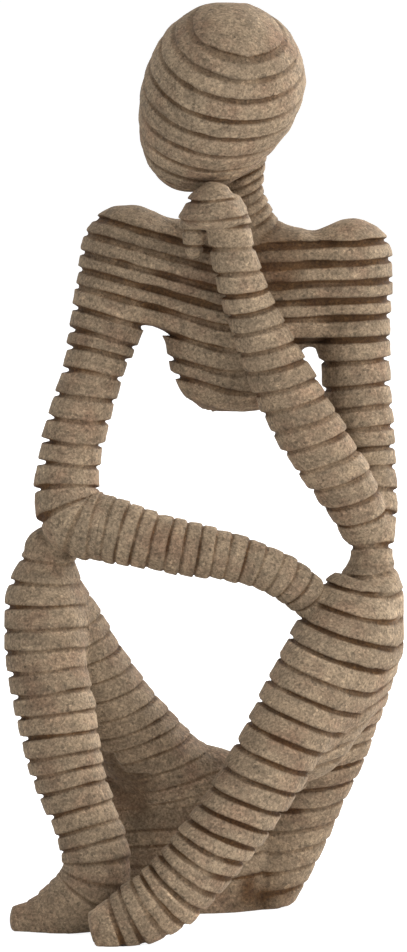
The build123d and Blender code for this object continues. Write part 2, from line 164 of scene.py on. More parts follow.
# Head, an egg whose rings look further down than the egg itself leans
HEAD_RADIUS = 24.9
HEAD_HALF_LENGTH = 32.6
HEAD_DEPTH_SHARE = 1.04
HEAD_TAPER = 0.17
TAPER_LIMIT = 1.2
HEAD_BLEND = 1.4
HEAD_ROLL = 28.0
HEAD_PITCH = 12.0
HEAD_RING_ROLL = 9.8
HEAD_RING_PITCH = 31.8
HEAD_MIDDLE_SHARES = (0.0372, -0.088, 0.8993)
HEAD_GROOVE_SHARES = [-0.81, -0.66, -0.485, -0.265, -0.065, 0.145, 0.36, 0.54, 0.72]

# Torso: a bar between the shoulders and a rounded chest that hangs free below it
YOKE_RADIUS = 13.2
YOKE_SHARES = [
    (-0.170, 0.054, 0.7235, 1.00), (-0.055, 0.055, 0.723, 1.00), (0.080, 0.056, 0.717, 1.00),
    (0.215, 0.057, 0.716, 1.00), (0.255, 0.058, 0.711, 1.00), (0.300, 0.059, 0.708, 1.00),
    (0.350, 0.060, 0.708, 1.00),
]
CHEST_MIDDLE_SHARES = (0.079, 0.054, 0.653)
CHEST_SIZE = np.array([21.8, 14.0, 29.4])
CHEST_POWER = 2.6
FLANK_RADIUS = 11.5
FLANK_SHARES = [(-0.060, 0.054, 0.680, 1.00), (0.080, 0.054, 0.674, 1.00), (0.270, 0.056, 0.668, 0.96)]
TORSO_TURN = (0.0, 22.0)
TORSO_BLEND = 6.0

# Seat behind the shins: height share and radius share of its outline
SEAT_HALF_WIDTH = 32.0
SEAT_HALF_DEPTH = 20.5
SEAT_HEIGHT = 54.0
SEAT_SHARES = (0.031, 0.250, 0.0)
SEAT_MIDDLE_SHARE = -0.030
HAUNCH_SHARES = (-0.170, 0.240, 0.133)
HAUNCH_SIZE = np.array([14.0, 13.0, 20.0])
SEAT_BLEND = 7.0
SEAT_CAPS = (1.0, 0.3)
SEAT_OUTLINE_SHARES = [(0.08, 0.94), (0.30, 1.00), (0.55, 0.95), (0.75, 0.78), (0.90, 0.50)]

# Rings: the place of the first groove along a limb and the heights of the rings after it
SHOULDER_PITCH = 5.6
ARM_PITCH = 7.3
RIGHT_ARM_FIRST, RIGHT_ARM_BARE_END = -7.4, 4.0
RIGHT_ARM_RINGS = [
    5.6, 6.2, 5.5, 5.5, 7.2, 7.5, 4.8, 7.2, 7.9, 7.5, 7.9, 7.2, 8.1, 7.2, 5.6, 4.8, 4.6, 4.6, 4.8, 5.0,
]
LEFT_ARM_FIRST, LEFT_ARM_OVERRUN = -5.8, 4.0
LEFT_ARM_RINGS = [6.2, 6.5, 5.9, 5.5, 7.5, 7.2, 8.6, 7.4, 6.5, 6.5, 6.6, 8.3, 7.8, 9.9, 6.3]
LEFT_FOREARM_FIRST = 3.0
LEFT_FOREARM_RINGS = [7.6, 7.6, 7.2, 7.6, 7.2, 7.0, 6.8, 7.2, 6.6, 6.8, 6.6, 6.4, 7.0, 8.2]
FIST_FIRST, FIST_LAST = 3.9, 10.2
FIST_RINGS = [6.2]
KNUCKLE_FIRST, KNUCKLE_LAST = 2.9, 9.0
KNUCKLE_RINGS = [5.6]
RIGHT_LEG_FIRST = 3.5
RIGHT_LEG_RINGS = [7.5, 7.4, 7.7, 6.7, 6.7, 7.4, 7.1, 7.1, 6.8, 5.1, 5.8, 7.2, 6.5, 5.5, 5.7, 5.0]
LEFT_LEG_FIRST = -4.0
LEFT_LEG_RINGS = [7.3, 8.4, 7.8, 8.1, 8.6, 8.2, 8.4, 8.2, 8.3, 7.9, 8.0, 7.2, 6.6, 6.0, 5.6]
SHARED_RINGS = 10
LEFT_THIGH_PITCH = 6.8
NECK_FIRST = 6.0
NECK_RINGS = [3.4]
SEAT_FIRST = 6.0
SEAT_RINGS = [7.0, 6.7, 5.0, 7.2, 8.9]
PITCH_SCATTER = 0.35

# How the rings lie: turned towards level by shares, or sloped in degrees, or square to one direction
RIGHT_ARM_UPRIGHT_SHARES = [0.0, 0.0, 0.1, 0.5, 0.7, 0.6, 0.2, 0, 0, 0, 0, 0, 0, 0, 0]
LEFT_FOREARM_UPRIGHT_SHARES = [0.4, 0.4, 0.4, 0.4, 0.4, 0.5, 0.8, 1, 1, 1]
RIGHT_SHIN_UPRIGHT_SHARES = [0.5, 0.5, 0.5, 0.5, 0.5, 0.4, 0.3, 0.1, 0, 0, 0, 0, 0]
RIGHT_THIGH_UPRIGHT_SHARES = [0.5, 0.5, 0.5, 0.5, 0.55, 0.6, 0.7]
LEFT_SHIN_SLOPES = [-2, -8, -17, -22, -24, -23, -22, -26, -38, -50, -62, -74, -80]
FIST_SLOPES = [3, 3, 3, 3]
KNUCKLE_SLOPES = [0, 0, 0]
NECK_RING_WAY = (-0.40, -0.25, 0.88)
SEAT_RING_WAY = (-0.10, 0.0, 0.99)
LEFT_SIDE_WAY = (0.12, 0.06, -0.99)

# The shape of a groove and of the rings beside it, and how both scatter
GROOVE_FLOOR_SHARE = 0.62
FLANK_POWER = 4
BACK_TURN = (-0.3, 0.5)
RING_START = (-0.7, -0.3)
EDGE_POWER = 3
RING_SWELL = 0.10
RING_FLARE = 0.22
RING_SCATTER = 0.26
DEPTH_SCATTER = (0.75, 1.2)
WIDTH_DRIFT, DEPTH_DRIFT, SHADE_DRIFT = 0.22, 0.28, 0.30

# Painted shade and dirt in and beside a groove, by the groove's depth, a painted shadow line under the ring
# above it, and wear and a painted highlight along the ring's edge below it
FLOOR_SHADE_AND_DIRT, SIDE_SHADE_AND_DIRT, LINE_SHADOW = 0.50, 0.22, 0.30
FLOOR_SHADE_SHARES = (0.75, 1.1)
FULL_SHADE_DEPTH, LEAST_SHADE = 0.9, 0.5
SIDE_SHADE_REACH = 0.8
LINE_SHARE, LINE_WIDTH = 0.75, 0.4
WEAR_AND_HIGHLIGHT, WEAR_AND_HIGHLIGHT_PLACE, WEAR_AND_HIGHLIGHT_WIDTH, WEAR_AND_HIGHLIGHT_LEVEL = 1.3, 0.4, 0.45, 0.3
TONE_LEVEL, RING_TONE, STREAK_TONE = 0.5, 0.2, 0.3

# Surface: slow bends of the grooves, dents, roughness and streaks along the rings
BEND_HEIGHT, BEND_SIZE = 0.55, 13.0
DENT_HEIGHT, DENT_SIZE = 0.20, 5.0
ROUGH_HEIGHT, ROUGH_SIZE = 0.09, 1.9
STREAK_HEIGHT, STREAK_LENGTH, STREAK_SIZE = 0.10, 9.0, 1.2
BEND_SEED, DENT_SEED, ROUGH_SEED, STREAK_SEED = SEED, SEED + 5, SEED + 9, SEED + 11
LAP_SEED, SHADOW_AND_STAIN_SEED, CHIP_SEED, PAD_SEED = SEED + 3, SEED + 21, SEED + 23, SEED + 31

# Broken edge where the right thigh hangs over the seat, its line in width and height shares
LAP_EDGE_SHARES = [(-0.260, 0.190), (-0.225, 0.180), (-0.198, 0.163), (-0.147, 0.158), (-0.093, 0.153)]
LAP_DEPTH = 2.0
LAP_FADE_SHARES = (-0.155, -0.095)
LAP_JAG, LAP_JAG_SIZE = 1.6, 3.6
LAP_STEP = 0.8
LAP_REACH = (8.0, 24.0)
# Painted shade in the broken recess under the thigh's edge
LAP_SHADE = 0.45
LAP_TOP = (-0.5, 0.2)
LAP_RUN = (60.0, 75.0)

# Painted shadows, partly stain: dark patches where the left forearm shades the chest and low under the left
# shin; middle and half sizes in width and height shares, front in depth shares, and strength
SHADOW_AND_STAIN_SHARES = [
    ((0.190, 0.720), (0.100, 0.060), -0.110, 0.42),
    ((0.150, 0.020), (0.130, 0.035), -0.050, 0.55),
]
SHADOW_AND_STAIN_EDGE = 3.0
SHADOW_AND_STAIN_CORE_SHARE = 0.35
SHADOW_AND_STAIN_MOTTLE = 0.5

# Pale chips on the right forearm's upper edge
CHIP_SHARES = [(-0.188, -0.120, 0.462), (-0.067, -0.122, 0.449), (-0.010, -0.122, 0.444)]
CHIP_SIZE = 1.7
CHIP_CORE_SHARE = 0.6
CHIP_MOTTLE, CHIP_MOTTLE_SIZE = 0.5, 1.5

# Grooves by side: half width and depth at the front, the back, the figure's right and its left
SOFT = [(1.20, 0.85), (1.10, 0.95), (1.00, 1.70), (1.00, 1.25)]
NOTCHED = [(0.85, 0.45), (1.00, 0.90), (1.00, 2.20), (0.95, 1.50)]
LEFT_NOTCHED = [(0.95, 0.60), (0.95, 0.90), (0.90, 0.90), (0.95, 1.50)]
FOREARM = [(0.90, 0.60), (1.00, 0.90), (1.00, 1.60), (0.90, 0.90)]
FINE = [(0.45, 0.55), (0.50, 0.55), (0.45, 0.45), (0.45, 0.45)]
RIGHT_LEG = [(0.65, 0.50), (0.90, 0.90), (1.00, 1.80), (0.90, 0.40)]
LEFT_LEG = [(0.90, 0.85), (1.10, 0.95), (1.10, 1.70), (1.20, 1.20)]
RIGHT_UPPER_LEG = [(0.50, 0.42), (1.00, 0.90), (0.70, 0.60), (0.90, 0.80)]
LEFT_UPPER_LEG = [(0.80, 0.70), (1.00, 0.70), (1.00, 0.80), (0.75, 0.55)]
FOOT = [(0.60, 0.35)] * 4
LEFT_SOLE = [(0.90, 0.80)] + [(0.80, 0.80)] * 3
CROWN = [(0.85, 0.70), (0.85, 0.70), (0.80, 0.20), (0.80, 0.15)]
THROAT = [(0.50, 0.60), (0.70, 0.60), (0.60, 0.50), (0.60, 0.60)]
FIST = [(0.55, 0.60), (0.60, 0.60), (0.70, 1.10), (0.70, 0.80)]
LAP = [(0.50, 0.50)] + [(0.80, 0.80)] * 3

# Meshing, and how neighbouring castings overlap under the skin
STEP = 0.52
BLOCK = 4
INNER_REACH = 5.0
OUTER_REACH = 2.6
BODY_REACH = 9.0
MARGIN = 9.0
OVERLAP = 0.4
TUCK = 0.5
SEAM_PUSH = 4.0
SMALLEST_PART_SHARE = 0.05
BOX_CLEARANCE = 0.1
LINE_STEP = 1.5
HANDOVER = 2.5
CHUNK = 60000
FAR = 1000.0
TINY = 1e-6

# Soles, and the pads that they stand on
SOLE_HEIGHT = 0.15
SOLE_ROUND = 0.6
PAD_CLEARANCE = 0.4
PAD_SIDES = 72
PAD_RIM_STEPS = 10
PAD_ROUND = 0.3
PAD_INSET_SHARES = [0.97, 0.75, 0.5, 0.25]
PAD_LUMP, PAD_LUMP_SIZE = 0.08, 1.6


def place(shares):
    """The point at these shares of the figure's width, depth and height."""
    return np.asarray(shares, float)[..., :3] * FIGURE_SIZE


def unit(vector):
    vector = np.asarray(vector, float)
    return vector / np.linalg.norm(vector)


def leaning(roll, pitch):
    """The upright direction, rolled towards the figure's left and pitched towards its front."""
    roll, pitch = math.radians(roll), math.radians(pitch)
    return unit((math.sin(roll), -math.sin(pitch), math.cos(roll) * math.cos(pitch)))


def smooth_step(low, high, value):
    share = np.clip((value - low) / (high - low), 0.0, 1.0)
    return share * share * (3 - 2 * share)


# Noise that gives the same values on each run

def hashed(cells, seed):
    """A value from -1 to 1 for each row of three whole numbers."""
    mixed = cells.astype(np.int64).astype(np.uint32)
    word = mixed[:, 0] * np.uint32(73856093) ^ mixed[:, 1] * np.uint32(19349663)
    word ^= mixed[:, 2] * np.uint32(83492791) ^ np.uint32((seed * 2654435761) % 2**32)
    for shift, factor in ((16, 0x7FEB352D), (15, 0x846CA68B)):
        word ^= word >> np.uint32(shift)
        word *= np.uint32(factor)
    word ^= word >> np.uint32(16)
    return word / 2.0**31 - 1.0


def noise(points, size, seed):
    """Smooth noise from -1 to 1 whose features are about this size."""
    scaled = points / size
    cell = np.floor(scaled)
    share = scaled - cell
    share = share * share * (3 - 2 * share)
    total = np.zeros(len(points))
    for corner in np.ndindex(2, 2, 2):
        weight = np.prod(np.where(corner, share, 1 - share), axis=1)
        total += weight * hashed(cell + corner, seed)
    return total


# Bodies of the figure: each reads, for points, how far they lie from its skin and how far along it

def smooth_line(points, start=None, end=None):
    """Close samples of a smooth curve through points of any number of values, and where each point lies."""
    runs = np.linalg.norm(np.diff(points[:, :3], axis=0), axis=1)
    knots = np.concatenate([[0.0], np.cumsum(runs)])
    count = len(points)
    matrix = np.zeros((count, count))
    right = np.zeros(points.shape)
    for i in range(1, count - 1):
        before, after = runs[i - 1], runs[i]
        matrix[i, i - 1:i + 2] = after, 2 * (before + after), before
        right[i] = 3 * (after * (points[i] - points[i - 1]) / before
                        + before * (points[i + 1] - points[i]) / after)
    for i, inner, run, direction in ((0, 1, runs[0], start), (count - 1, count - 2, runs[-1], end)):
        matrix[i, i], matrix[i, inner] = 2, 1
        right[i] = 3 * (points[inner] - points[i]) / run * (1 if i == 0 else -1)
        if direction is not None:
            matrix[i, inner] = 0
            right[i, :3] = 2 * unit(direction)
            right[i, 3:] *= 2 / 3
    slopes = np.linalg.solve(matrix, right)
    spots = np.linspace(0, knots[-1], int(knots[-1] / LINE_STEP) + 2)
    i = np.clip(np.searchsorted(knots, spots, side="right") - 1, 0, count - 2)
    u = ((spots - knots[i]) / runs[i])[:, None]
    run = runs[i][:, None]
    line = ((1 + 2 * u) * (1 - u) ** 2 * points[i] + u * (1 - u) ** 2 * run * slopes[i]
            + u * u * (3 - 2 * u) * points[i + 1] - u * u * (1 - u) * run * slopes[i + 1])
    along = np.concatenate([[0.0], np.cumsum(np.linalg.norm(np.diff(line[:, :3], axis=0), axis=1))])
    return line, along, np.interp(knots, spots, along)


class Rings:
    """Grooves at places along a body, with scatter in their depth and in the rings' height and tone."""

    def __init__(self, places, looks, seed, down=1):
        """Looks are pairs of a place along the body and a table of grooves by side. Down is -1 where the
        places count upwards: each ring is wider at its lower edge."""
        draw = np.random.default_rng(SEED + seed)
        self.places = np.asarray(places)
        self.stops = np.array([stop for stop, _ in looks])
        self.looks = np.array([look for _, look in looks])
        self.down = down
        self.lift = draw.uniform(-RING_SCATTER, RING_SCATTER, len(places) + 1)
        self.depths = draw.uniform(*DEPTH_SCATTER, len(places))
        self.tones = draw.uniform(-1, 1, len(places) + 1)

    def phase(self, along):
        """Counts grooves along the body: whole at each groove, and beyond them where there is none."""
        step = 1.0 / SHOULDER_PITCH
        inside = np.interp(along, self.places, np.arange(len(self.places)))
        before = np.minimum(along - self.places[0], 0)
        after = np.maximum(along - self.places[-1], 0)
        return inside + (before + after) * step

    def groove(self, along, out):
        """Half width and depth of the grooves at these places, on the side that faces this way out."""
        flank = out[:, 0] ** FLANK_POWER
        back = (1 - flank) * smooth_step(*BACK_TURN, out[:, 1])
        shares = [1 - flank - back, back, flank * (out[:, 0] < 0), flank * (out[:, 0] >= 0)]
        values = []
        for k in range(2):
            sides = [np.interp(along, self.stops, self.looks[:, side, k]) for side in range(4)]
            values.append(sum(share * side for share, side in zip(shares, sides)))
        return values

    def carve(self, phase, along, out, bend, dent):
        """How far the rings change the skin at these places, their painted shade and dirt from 0 to 1, and
        their tone with a painted highlight along each ring's upper edge.
        """
        nearest = np.clip(np.round(phase), 0, len(self.places) - 1).astype(int)
        ring = np.clip(np.floor(phase) + 1, 0, len(self.places)).astype(int)
        pitch = np.gradient(self.places)[nearest]
        offset = (phase - nearest) * pitch
        gap = np.abs(offset)
        half_width, depth = self.groove(along, out)
        half_width = half_width * (1 + WIDTH_DRIFT * dent)
        depth = depth * self.depths[nearest] * (1 + DEPTH_DRIFT * (bend + dent))
        trough = 1 - smooth_step(GROOVE_FLOOR_SHARE * half_width, half_width, gap)
        # Painted shade and dirt fill the groove's floor and fade out beside it, darker where the groove is
        # deeper
        floor_start, floor_end = FLOOR_SHADE_SHARES
        floor = 1 - smooth_step(floor_start * half_width, floor_end * half_width, gap)
        side_shade = np.exp(-np.maximum(gap - half_width, 0) / SIDE_SHADE_REACH)
        # Painted shadow: a dark line along the groove's upper wall, under the lower edge of the ring above
        line = np.exp(-((offset + self.down * LINE_SHARE * half_width) / LINE_WIDTH) ** 2)
        edge = np.clip(1 - gap / (0.5 * pitch), 0, 1) ** EDGE_POWER
        flare = self.down * RING_FLARE * 2 * (phase - np.floor(phase) - 0.5)
        raised = smooth_step(*RING_START, phase) * (self.lift[ring] + flare) * (1 - trough)
        shade_and_dirt = np.clip(depth / FULL_SHADE_DEPTH, LEAST_SHADE, 1)
        shade_and_dirt = shade_and_dirt * (FLOOR_SHADE_AND_DIRT * floor + SIDE_SHADE_AND_DIRT * side_shade + LINE_SHADOW * line) * (1 + SHADE_DRIFT * bend)
        # Painted highlight, partly wear: a pale band along each ring's upper edge, just below the groove
        worn_and_lit = np.exp(-((offset - self.down * (half_width + WEAR_AND_HIGHLIGHT_PLACE)) / WEAR_AND_HIGHLIGHT_WIDTH) ** 2)
        tone = self.tones[ring] + WEAR_AND_HIGHLIGHT * worn_and_lit * np.clip(WEAR_AND_HIGHLIGHT_LEVEL + dent, 0, 1)
        return trough * depth + RING_SWELL * edge - raised, shade_and_dirt, tone


def ring_places(first, last, heights, seed):
    """Places of grooves from first to last: rings of these heights, then more like the last, with scatter."""
    draw = np.random.default_rng(SEED + seed)
    places = [first]
    for height in heights:
        places.append(places[-1] + height)
    while places[-1] < last:
        places.append(places[-1] + heights[-1] + draw.uniform(-PITCH_SCATTER, PITCH_SCATTER))
    return [spot for spot in places if spot <= last]


class Reading:
    """What a body says of points: distance from its skin, place along it, phase of its rings, way out."""

    def __init__(self, skin, along, phase, out):
        self.skin, self.along, self.phase, self.out = skin, along, phase, out


class Limb:
    """A round limb along a smooth centre line."""

    def __init__(self, shares, radius, blend, start=None, end=None, caps=(1.0, 1.0)):
        rows = np.array(shares)
        points = np.concatenate([place(rows), rows[:, 3:] * radius], axis=1)
        self.line, self.places, self.stops = smooth_line(points, start, end)
        self.way = np.gradient(self.line[:, :3], axis=0)
        self.way /= np.linalg.norm(self.way, axis=1)[:, None]
        self.blend = blend
        self.caps = caps
        self.rings = None
        self.count = None
        self.blend_at = None
        self.normal = self.way
        reach = self.line[:, 3].max() + blend
        self.low = self.line[:, :3].min(0) - reach
        self.high = self.line[:, :3].max(0) + reach

    def ringed(self, first, last, heights, looks, seed, upright=None, plane=None, slopes=None, down=1):
        """Grooves from first to last between rings of these heights. They lie square to the limb, or turned
        from that towards level by the upright shares at its points, or square to one direction, or level from
        front to back and rising to the figure's left by the slopes at its points."""
        looks = looks if isinstance(looks[0][1], list) else [(0.0, looks)]
        self.rings = Rings(ring_places(first, last, heights, seed), looks, seed, down)
        if plane is not None:
            self.normal = np.repeat([unit(plane)], len(self.way), axis=0)
        elif slopes is not None:
            rise = np.radians(np.interp(self.places, self.stops, slopes))
            normal = np.stack([-np.sin(rise), np.zeros(len(rise)), np.cos(rise)], axis=1)
            self.normal = normal * np.sign((normal * self.way).sum(axis=1))[:, None]
        elif upright is not None:
            share = np.interp(self.places, self.stops, upright)[:, None]
            level = np.sign(self.way[:, 2:]) * np.array([[0.0, 0.0, 1.0]])
            self.normal = self.way * (1 - share) + level * share
        return self

    def read(self, points):
        centre, radius, way = self.line[:, :3], self.line[:, 3], self.way
        nearest = np.argmin((centre ** 2).sum(1) - 2 * points @ centre.T, axis=1)
        ahead = ((points - centre[nearest]) * way[nearest]).sum(1)
        i = np.clip(nearest - (ahead < 0), 0, len(centre) - 2)
        before = ((points - centre[i]) * way[i]).sum(1)
        after = ((points - centre[i + 1]) * way[i + 1]).sum(1)
        share = np.clip(before / np.maximum(before - after, TINY), 0, 1)
        foot = centre[i] + share[:, None] * (centre[i + 1] - centre[i])
        beyond = np.where(i == 0, np.minimum(before, 0), 0)
        beyond = np.where(i == len(centre) - 2, np.maximum(after, 0), beyond)
        away = points - foot
        gap = np.linalg.norm(away, axis=1)
        out = away / np.maximum(gap, TINY)[:, None]
        cap = np.where(beyond > 0, self.caps[1], self.caps[0])
        gap = np.sqrt(np.maximum(gap ** 2 - beyond ** 2, 0) + (beyond / cap) ** 2)
        skin = gap - radius[i] - share * (radius[i + 1] - radius[i])
        along = self.places[i] + share * (self.places[i + 1] - self.places[i])
        normal = self.normal[i] + share[:, None] * (self.normal[i + 1] - self.normal[i])
        ring = along + (away * normal).sum(1) / (way[i] * normal).sum(1)
        phase = self.count(points) if self.count else self.rings.phase(ring)
        return Reading(skin, along + beyond, phase, out)


class Egg:
    """An ellipsoid, or with a higher power a boxier one. A function of the points counts its rings."""

    def __init__(self, middle, axes, sizes, blend, count, taper=0.0, power=2.0):
        self.taper, self.power = taper, power
        self.middle, self.axes, self.sizes = np.asarray(middle), np.asarray(axes), np.asarray(sizes, float)
        self.blend, self.blend_at, self.count = blend, None, count
        reach = self.sizes.max() + blend
        self.low, self.high = self.middle - reach, self.middle + reach

    def read(self, points):
        local = (points - self.middle) @ self.axes.T
        local[:, :2] /= 1 + self.taper * np.clip(local[:, 2:] / self.sizes[2], -TAPER_LIMIT, TAPER_LIMIT)
        share = np.abs(local) / self.sizes
        level = np.maximum((share ** self.power).sum(1) ** (1 / self.power), TINY)
        way = np.sign(local) * share ** (self.power - 1) / self.sizes
        steep = np.maximum(np.linalg.norm(way, axis=1), TINY)
        skin = (level - 1) * level ** (self.power - 1) / steep
        along, phase = self.count(points)
        return Reading(skin, along, phase, (way @ self.axes) / steep[:, None])


class Squashed:
    """A limb read in a space drawn out along Y, so that it comes out flatter from front to back."""

    def __init__(self, limb, share, middle):
        self.limb, self.share, self.middle = limb, share, middle
        self.blend, self.blend_at, self.rings = 1.0, None, limb.rings
        self.low, self.high = limb.low, limb.high

    def read(self, points):
        drawn = points.copy()
        drawn[:, 1] = self.middle + (points[:, 1] - self.middle) / self.share
        reading = self.limb.read(drawn)
        reading.skin = reading.skin * (self.share + (1 - self.share) * np.abs(reading.out[:, 0]))
        return reading


right_arm = Limb(RIGHT_ARM_SHARES, RIGHT_ARM_RADIUS, ARM_BLEND)
stops = right_arm.stops
right_arm.ringed(
    RIGHT_ARM_FIRST, stops[-1] - RIGHT_ARM_BARE_END, RIGHT_ARM_RINGS,
    [(stops[1], SOFT), (stops[3], NOTCHED), (stops[6], NOTCHED), (stops[8], FINE)], seed=1,
    upright=RIGHT_ARM_UPRIGHT_SHARES)
left_arm = Limb(LEFT_ARM_SHARES, LEFT_ARM_RADIUS, ARM_BLEND)
stops = left_arm.stops
left_arm.ringed(
    LEFT_ARM_FIRST, stops[-1] + LEFT_ARM_OVERRUN, LEFT_ARM_RINGS,
    [(stops[1], SOFT), (stops[3], LEFT_NOTCHED)], seed=2)
left_forearm = Limb(LEFT_FOREARM_SHARES, LEFT_FOREARM_RADIUS, FOREARM_BLEND, caps=FOREARM_CAPS)
left_forearm.ringed(
    LEFT_FOREARM_FIRST, left_forearm.stops[-1], LEFT_FOREARM_RINGS, FOREARM, seed=3,
    upright=LEFT_FOREARM_UPRIGHT_SHARES, down=-1)
fist = Limb(FIST_SHARES, FIST_RADIUS, FIST_BLEND, caps=FIST_CAPS)
fist.ringed(FIST_FIRST, FIST_LAST, FIST_RINGS, FIST, seed=9, slopes=FIST_SLOPES)
knuckles = Limb(KNUCKLE_SHARES, KNUCKLE_RADIUS, KNUCKLE_BLEND)
knuckles.ringed(KNUCKLE_FIRST, KNUCKLE_LAST, KNUCKLE_RINGS, FIST, seed=10, slopes=KNUCKLE_SLOPES)
neck = Limb(NECK_SHARES, NECK_RADIUS, NECK_BLEND)
neck.ringed(NECK_FIRST, neck.stops[-1], NECK_RINGS, THROAT, seed=4, plane=NECK_RING_WAY, down=-1)
right_shin = Limb(RIGHT_SHIN_SHARES, RIGHT_SHIN_RADIUS, KNEE_BLEND, DOWN, caps=RIGHT_FOOT_CAPS)
stops = right_shin.stops
right_shin.ringed(
    RIGHT_LEG_FIRST, stops[-4], RIGHT_LEG_RINGS, [(stops[6], RIGHT_LEG), (stops[8], FOOT)], seed=5,
    upright=RIGHT_SHIN_UPRIGHT_SHARES)
right_thigh = Limb(RIGHT_THIGH_SHARES, RIGHT_THIGH_RADIUS, KNEE_BLEND, DOWN)
right_thigh.ringed(
    RIGHT_LEG_FIRST, right_thigh.stops[-1], RIGHT_LEG_RINGS, RIGHT_UPPER_LEG, seed=5,
    upright=RIGHT_THIGH_UPRIGHT_SHARES)
left_shin = Limb(LEFT_SHIN_SHARES, LEFT_SHIN_RADIUS, KNEE_BLEND, DOWN, caps=LEFT_FOOT_CAPS)
stops = left_shin.stops
left_shin.ringed(
    LEFT_LEG_FIRST, stops[-2], LEFT_LEG_RINGS, [(stops[7], LEFT_LEG), (stops[9], LEFT_SOLE)], seed=6,
    slopes=LEFT_SHIN_SLOPES)
left_thigh = Limb(LEFT_THIGH_SHARES, LEFT_THIGH_RADIUS, KNEE_BLEND, DOWN)
left_web = Limb(WEB_SHARES, WEB_RADIUS, LEFT_KNEE_BLEND)
left_side = unit(LEFT_SIDE_WAY)


def edge_marks(limb):
    """How far down the ring lines of a limb meet its left edge."""
    marks = []
    for spot in limb.rings.places:
        centre = np.array([np.interp(spot, limb.places, column) for column in limb.line.T])
        normal = unit([np.interp(spot, limb.places, column) for column in limb.normal.T])
        across = unit(np.array([1.0, 0.0, 0.0]) - normal[0] * normal)
        marks.append((centre[:3] + min(spot, 0) * limb.way[0] + centre[3] * across) @ left_side)
    return marks


def left_side_count(points):
    """The left shin's rings go on round the leg's outer side."""
    return left_thigh.rings.phase(points @ left_side)


side_marks = edge_marks(left_shin)
for k in range(SHARED_RINGS, len(side_marks)):
    side_marks[k] = side_marks[k - 1] + LEFT_THIGH_PITCH
left_thigh.rings = left_web.rings = Rings(side_marks, [(0.0, LEFT_UPPER_LEG)], seed=6)
left_thigh.count = left_web.count = left_side_count


def leg_blend(reading, widest=KNEE_BLEND, fade=KNEE_FADE):
    """Legs grow together at the knee and only touch further down."""
    return TOUCH_BLEND + (widest - TOUCH_BLEND) * (1 - smooth_step(*fade, reading.along))


def lap_blend(reading):
    """The right thigh runs into the seat at its top and hangs over it with a broken edge below."""
    knee = leg_blend(reading)
    joined = smooth_step(*LAP_TOP, reading.out[:, 2]) * smooth_step(*LAP_RUN, reading.along)
    return knee + (SEAT_BLEND - knee) * joined


def left_leg_blend(reading):
    """The left shin is one form with the leg's outer side until it parts from it above the ankle."""
    return leg_blend(reading, LEFT_KNEE_BLEND, LEFT_KNEE_FADE)


right_shin.blend_at = left_thigh.blend_at = leg_blend
left_shin.blend_at = left_leg_blend
right_thigh.blend_at = lap_blend


def plane_phase(limb, points):
    """The rings of an arm carried on, as flat planes square to the arm's start."""
    start = limb.line[0, :3]
    along = (points - start) @ unit(limb.line[SHOULDER_SAMPLE, :3] - start)
    return along, limb.rings.phase(along)


def torso_count(points):
    """The right arm's rings cross the chest and turn into the left arm's."""
    right_along, right_phase = plane_phase(right_arm, points)
    left_along, left_phase = plane_phase(left_arm, points)
    turn = smooth_step(*TORSO_TURN, points[:, 0])
    along = right_along + (left_along - right_along) * turn
    return along, right_phase + (left_phase - right_phase) * turn


head_axis = leaning(HEAD_ROLL, HEAD_PITCH)
head_ring_axis = leaning(HEAD_RING_ROLL, HEAD_RING_PITCH)
head_side = unit(np.array([1.0, 0, 0]) - head_axis * head_axis[0])
head_rings = Rings(np.array(HEAD_GROOVE_SHARES) * HEAD_HALF_LENGTH, [(0.0, CROWN)], seed=7)


def head_count(points):
    along = -(points - place(HEAD_MIDDLE_SHARES)) @ head_ring_axis
    return along, head_rings.phase(along)


head_sizes = [HEAD_RADIUS, HEAD_RADIUS * HEAD_DEPTH_SHARE, HEAD_HALF_LENGTH]
head = Egg(place(HEAD_MIDDLE_SHARES), [head_side, np.cross(head_axis, head_side), head_axis], head_sizes,
           HEAD_BLEND, head_count, taper=HEAD_TAPER)
head.rings = head_rings
chest = Egg(place(CHEST_MIDDLE_SHARES), np.eye(3), CHEST_SIZE, TORSO_BLEND, torso_count, power=CHEST_POWER)
yoke = Limb(YOKE_SHARES, YOKE_RADIUS, TORSO_BLEND)
flanks = Limb(FLANK_SHARES, FLANK_RADIUS, TORSO_BLEND)
chest.rings = yoke.rings = flanks.rings = right_arm.rings
seat_rows = [(SEAT_MIDDLE_SHARE, SEAT_SHARES[1], along * SEAT_HEIGHT / FIGURE_SIZE[2], share)
             for along, share in SEAT_OUTLINE_SHARES]
seat_limb = Limb(seat_rows, SEAT_HALF_WIDTH, SEAT_BLEND, caps=SEAT_CAPS)
seat_limb.ringed(SEAT_FIRST, SEAT_HEIGHT, SEAT_RINGS, LAP, seed=8, plane=SEAT_RING_WAY, down=-1)


def seat_count(points):
    reading = seat_limb.read(points)
    return reading.along, reading.phase


seat = Squashed(seat_limb, SEAT_HALF_DEPTH / SEAT_HALF_WIDTH, place(SEAT_SHARES)[1])

haunch = Egg(place(HAUNCH_SHARES), np.eye(3), HAUNCH_SIZE, SEAT_BLEND, seat_count)
haunch.rings = seat_limb.rings

BODIES = {
    "chest": chest, "yoke": yoke, "flanks": flanks, "right_arm": right_arm, "left_arm": left_arm,
    "neck": neck, "head": head, "seat": seat, "haunch": haunch, "right_thigh": right_thigh,
    "left_thigh": left_thigh, "left_web": left_web, "right_shin": right_shin, "left_shin": left_shin,
    "left_forearm": left_forearm, "fist": fist, "knuckles": knuckles,
}
UPPER_BODY = ["chest", "yoke", "flanks", "right_arm", "left_arm", "neck"]
LOWER_BODY = ["seat", "haunch", "right_thigh", "left_thigh", "left_web", "right_shin", "left_shin"]
RAISED_ARM = ["left_forearm", "fist", "knuckles"]


